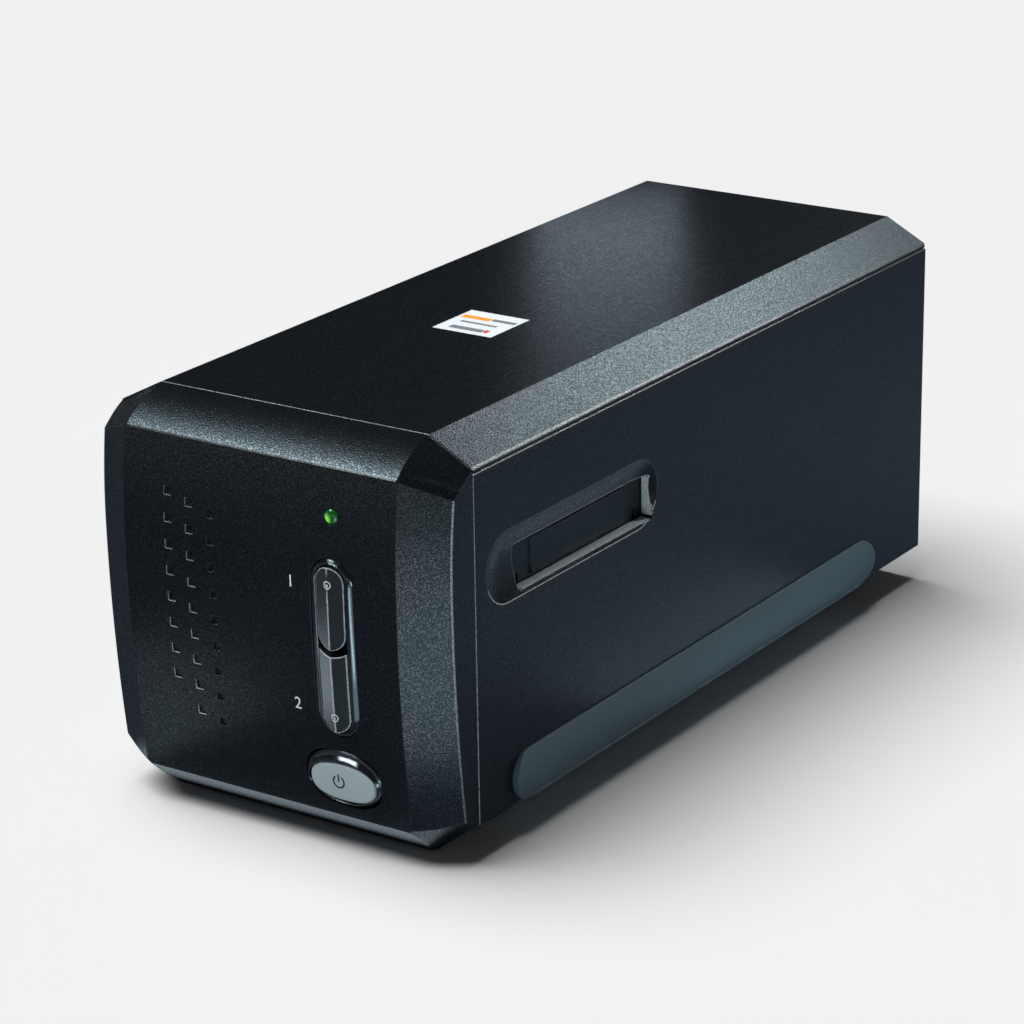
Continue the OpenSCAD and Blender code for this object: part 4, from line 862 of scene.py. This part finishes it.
def crosshead_screws():
    """The case screws, each a rounded head with a tapered cross recess on a plain shank."""
    shape = bmesh.new()
    arm, half, face_z, recess_z = 1.35, 0.34, 1.4, 2.35
    corners = [(half, half), (half, arm), (-half, arm), (-half, half), (-arm, half), (-arm, -half),
               (-half, -half), (-half, -arm), (half, -arm), (half, -half), (arm, -half), (arm, half)]
    outline = ((2.55, 1.47), (2.74, 1.66), (2.8, 1.9), (2.8, 3.2), (1.5, 3.2), (1.5, 14.8), (1.2, 15.0))
    for x, y in SCREW_PLACES:
        middle = Vector((x, y, face_z))
        circle = bmesh.ops.create_circle(shape, segments=32, radius=2.2 * MM,
                                         matrix=Matrix.Translation(middle * MM))["verts"]
        rim_edges = list({edge for vert in circle for edge in vert.link_edges})
        cross = [shape.verts.new((middle + Vector((across, along, 0))) * MM)
                 for across, along in corners]
        cross_edges = [shape.edges.new(pair) for pair in zip(cross, cross[1:] + cross[:1])]
        bmesh.ops.triangle_fill(shape, edges=rim_edges + cross_edges, use_beauty=True)
        sunk = bmesh.ops.extrude_edge_only(shape, edges=cross_edges)["geom"]
        floor_edges = edges_of(sunk)
        for vert in verts_of(sunk):
            offset = vert.co / MM - middle
            vert.co = Vector((x + offset.x * 0.7, y + offset.y * 0.7, recess_z)) * MM
        bmesh.ops.contextual_create(shape, geom=floor_edges)
        edges = rim_edges
        for radius, z in outline:
            drawn = bmesh.ops.extrude_edge_only(shape, edges=edges)["geom"]
            for vert in verts_of(drawn):
                turn = math.atan2(vert.co.y / MM - y, vert.co.x / MM - x)
                vert.co = Vector((x + radius * math.cos(turn), y + radius * math.sin(turn), z)) * MM
            edges = edges_of(drawn)
        bmesh.ops.contextual_create(shape, geom=edges)
    bmesh.ops.recalc_face_normals(shape, faces=shape.faces)
    finish_piece(shape, "crosshead_screws", SLOT_OF["case_screws"], BODY_OF["case_screws"],
                 "case_screws", smooth_angle=35)


crosshead_screws()
slot_light_sheets()
key_icons()
power_symbol()
key_numbers()
label_print()


# ---------------------------------------------------------------- stage
def pale_floor():
    """Plain pale floor whose far rim rises as a backdrop on every side."""
    sheet = bmesh.new()
    bmesh.ops.create_circle(sheet, cap_ends=True, segments=96, radius=7.0)
    margin = [edge for edge in sheet.edges if edge.is_boundary]
    for outward, rise in ((7.6, 0.1), (8.1, 0.35), (8.4, 0.75), (8.6, 1.25)):
        risen = bmesh.ops.extrude_edge_only(sheet, edges=margin)["geom"]
        for corner in verts_of(risen):
            flat = Vector((corner.co.x, corner.co.y, 0)).normalized() * outward
            corner.co = Vector((flat.x, flat.y, rise))
        margin = edges_of(risen)
    bmesh.ops.recalc_face_normals(sheet, faces=sheet.faces)
    sheet.normal_update()
    if max(sheet.faces, key=lambda face: face.calc_area()).normal.z < 0:
        bmesh.ops.reverse_faces(sheet, faces=sheet.faces)
    mesh = mesh_of(sheet, "pale_floor")
    mesh.polygons.foreach_set("use_smooth", [True] * len(mesh.polygons))
    floor = into_scene("pale_floor", mesh)
    material, tree, shader = new_material("pale_floor_paper")
    see_through = tree.nodes.new("ShaderNodeBsdfTransparent")
    from_below = tree.nodes.new("ShaderNodeMixShader")
    feed(tree, from_below.inputs[0], tree.nodes.new("ShaderNodeNewGeometry").outputs["Backfacing"])
    feed(tree, from_below.inputs[1], shader.outputs[0])
    feed(tree, from_below.inputs[2], see_through.outputs[0])
    feed(tree, tree.nodes["Material Output"].inputs["Surface"], from_below.outputs[0])
    tone = noise(tree, place_of(tree), 3.0, 2.0)
    paper = blended(tree, tone, (0.92, 0.92, 0.92, 1), (0.95, 0.95, 0.95, 1))
    feed(tree, shader.inputs["Base Color"], paper)
    shader.inputs["Roughness"].default_value = 0.9
    shader.inputs["Specular IOR Level"].default_value = 0.1
    mesh.materials.append(material)
    return floor


def dark_sheet(name, corners, colour):
    """A dark card that is seen only in the gloss of the case."""
    sheet = bmesh.new()
    sheet.faces.new([sheet.verts.new(corner) for corner in corners])
    sheet.normal_update()
    if next(iter(sheet.faces)).normal.z < 0:
        bmesh.ops.reverse_faces(sheet, faces=sheet.faces)
    mesh = mesh_of(sheet, name)
    card = into_scene(name, mesh)
    material, tree, shader = new_material(name)
    tone = noise(tree, place_of(tree), 4.0, 2.0)
    card_tone = blended(tree, tone, shade(colour, 0.9), shade(colour, 1.1))
    feed(tree, shader.inputs["Base Color"], card_tone)
    shader.inputs["Roughness"].default_value = 0.9
    mesh.materials.append(material)
    card.visible_camera = False
    card.visible_diffuse = False
    card.visible_transmission = False
    card.visible_shadow = False


def soft_lamp(name, place, aim, size, power, colour):
    """A rectangular soft box aimed at a point, or one that lies face up, turned by some degrees."""
    data = bpy.data.lights.new(name, "AREA")
    data.shape = "RECTANGLE"
    data.size, data.size_y = size
    data.energy = power
    data.color = colour
    lamp = into_scene(name, data)
    lamp.location = place
    if isinstance(aim, tuple):
        lamp.rotation_euler = (Vector(aim) - Vector(place)).to_track_quat("-Z", "Y").to_euler()
    else:
        lamp.rotation_euler = (math.pi, 0, math.radians(aim))
    lamp.visible_camera = False
    return lamp


WHITE, COOL, BLUISH = (1, 1, 1), (0.80, 0.95, 1.0), (0.72, 0.86, 1.0)
# Name, place, aim, size, watts, colour and what it lights
SOFT_LAMPS = (
    ("rear_card", (-0.078, 0.165, 0.158), (-0.01, 0.05, 0.119), (0.05, 0.04), 0.0062, BLUISH, "scanner"),
    ("slope_card", (0.02, 0.49, 0.46), (0.05, 0.0, 0.115), (0.22, 0.16), 0.79, COOL, "scanner"),
    ("brow_card", (-0.42, -0.41, 0.74), (0.0, -0.13, 0.112), (0.32, 0.26), 5.4, COOL, "scanner"),
    ("edge_card", (0.20, 0.28, 0.30), (0.058, -0.03, 0.112), (0.07, 0.16), 0.7, WHITE, "scanner"),
    ("low_card_right", (0.146, -0.314, 0.004), 23, (0.13, 0.32), 0.41, COOL, "scanner"),
    ("low_card_left", (-0.075, -0.172, 0.004), 25, (0.07, 0.045), 0.007, COOL, "scanner"),
    ("key_card", (-0.075, -0.172, 0.0042), 25, (0.07, 0.045), 0.020, COOL, "keys"),
    ("chin_card", (0.0, -0.128, 0.0008), (0.0, -0.128, 1.0), (0.15, 0.016), 0.006, (0.75, 0.9, 1.0),
     "scanner"),
    ("glint_card", (-0.236, -0.625, 0.247), (0.027, -0.132, 0.028), (0.20, 0.12), 2.4, WHITE, "rims"),
    ("glint_card_right", (0.36, -0.266, 0.045), (0.036, -0.131, 0.03), (0.12, 0.09), 0.96, WHITE, "rims"),
    ("scoop_card", (0.085, 0.045, 0.004), 0, (0.04, 0.12), 0.007, (0.7, 0.88, 1.0), "scanner"),
    ("flank_card", (0.092, -0.272, 0.0045), 0, (0.035, 0.12), 0.2, COOL, "rims"),
)
LIT_ALONE = (
    ("rims", ("key_surround_rim", "power_button_rim")),
    ("keys", ("scan_key_upper_moulding", "scan_key_lower_moulding")),
)


def studio_light(floor):
    """A dim world, high daylight in two suns, and soft lamps that leave the floor alone."""
    world = bpy.data.worlds.new("studio")
    bpy.context.scene.world = world
    world.use_nodes = True
    background = world.node_tree.nodes["Background"]
    background.inputs["Color"].default_value = (0.86, 0.93, 1.0, 1)
    background.inputs["Strength"].default_value = 0.025
    for name, energy, seen_in_gloss in (("high_daylight", 2.8, False), ("daylight_gloss", 0.25, True)):
        sun = bpy.data.lights.new(name, "SUN")
        sun.energy = energy
        sun.angle = math.radians(50)
        lamp = into_scene(name, sun)
        lamp.rotation_euler = (math.radians(10), math.radians(-16), 0)
        lamp.visible_glossy = seen_in_gloss
    lamps = [(soft_lamp(*row[:-1]), row[-1]) for row in SOFT_LAMPS]
    apart = bpy.data.collections.new("lit_by_daylight_only")
    apart.objects.link(floor)
    apart.collection_objects[0].light_linking.link_state = "EXCLUDE"
    receivers = {"scanner": apart}
    for group, names in LIT_ALONE:
        receivers[group] = bpy.data.collections.new("lit_" + group)
        for name in names:
            receivers[group].objects.link(bpy.data.objects[name])
    for lamp, group in lamps:
        lamp.light_linking.receiver_collection = receivers[group]


studio_light(pale_floor())

MAT_BLUE, MAT_DARK, SCREEN_DARK = (0.10, 0.138, 0.19), (0.035, 0.045, 0.06), (0.02, 0.022, 0.025)
SCREEN_TOP = 0.6
for name, tone, height, outline in (
    ("dark_mat_right", MAT_BLUE, 0.0002,
     ((0.03, -0.14), (0.16, -0.9), (1.2, -0.9), (1.2, 1.2), (0.03, 1.2))),
    ("dark_mat_left", MAT_DARK, 0.0004,
     ((-0.9, -0.9), (0.16, -0.9), (0.03, -0.14), (0.03, 1.2), (-0.9, 1.2))),
):
    dark_sheet(name, [(x, y, height) for x, y in outline], tone)
for name, (near, far) in (
    ("dark_screen", ((-1.3, 1.3), (1.3, 1.3))),
    ("dark_screen_left", ((-1.3, -0.6), (-1.3, 1.3))),
):
    foot = [(*near, 0.0), (*far, 0.0)]
    dark_sheet(name, foot + [(*far, SCREEN_TOP), (*near, SCREEN_TOP)], SCREEN_DARK)

bpy.context.scene.view_settings.view_transform = "Standard"
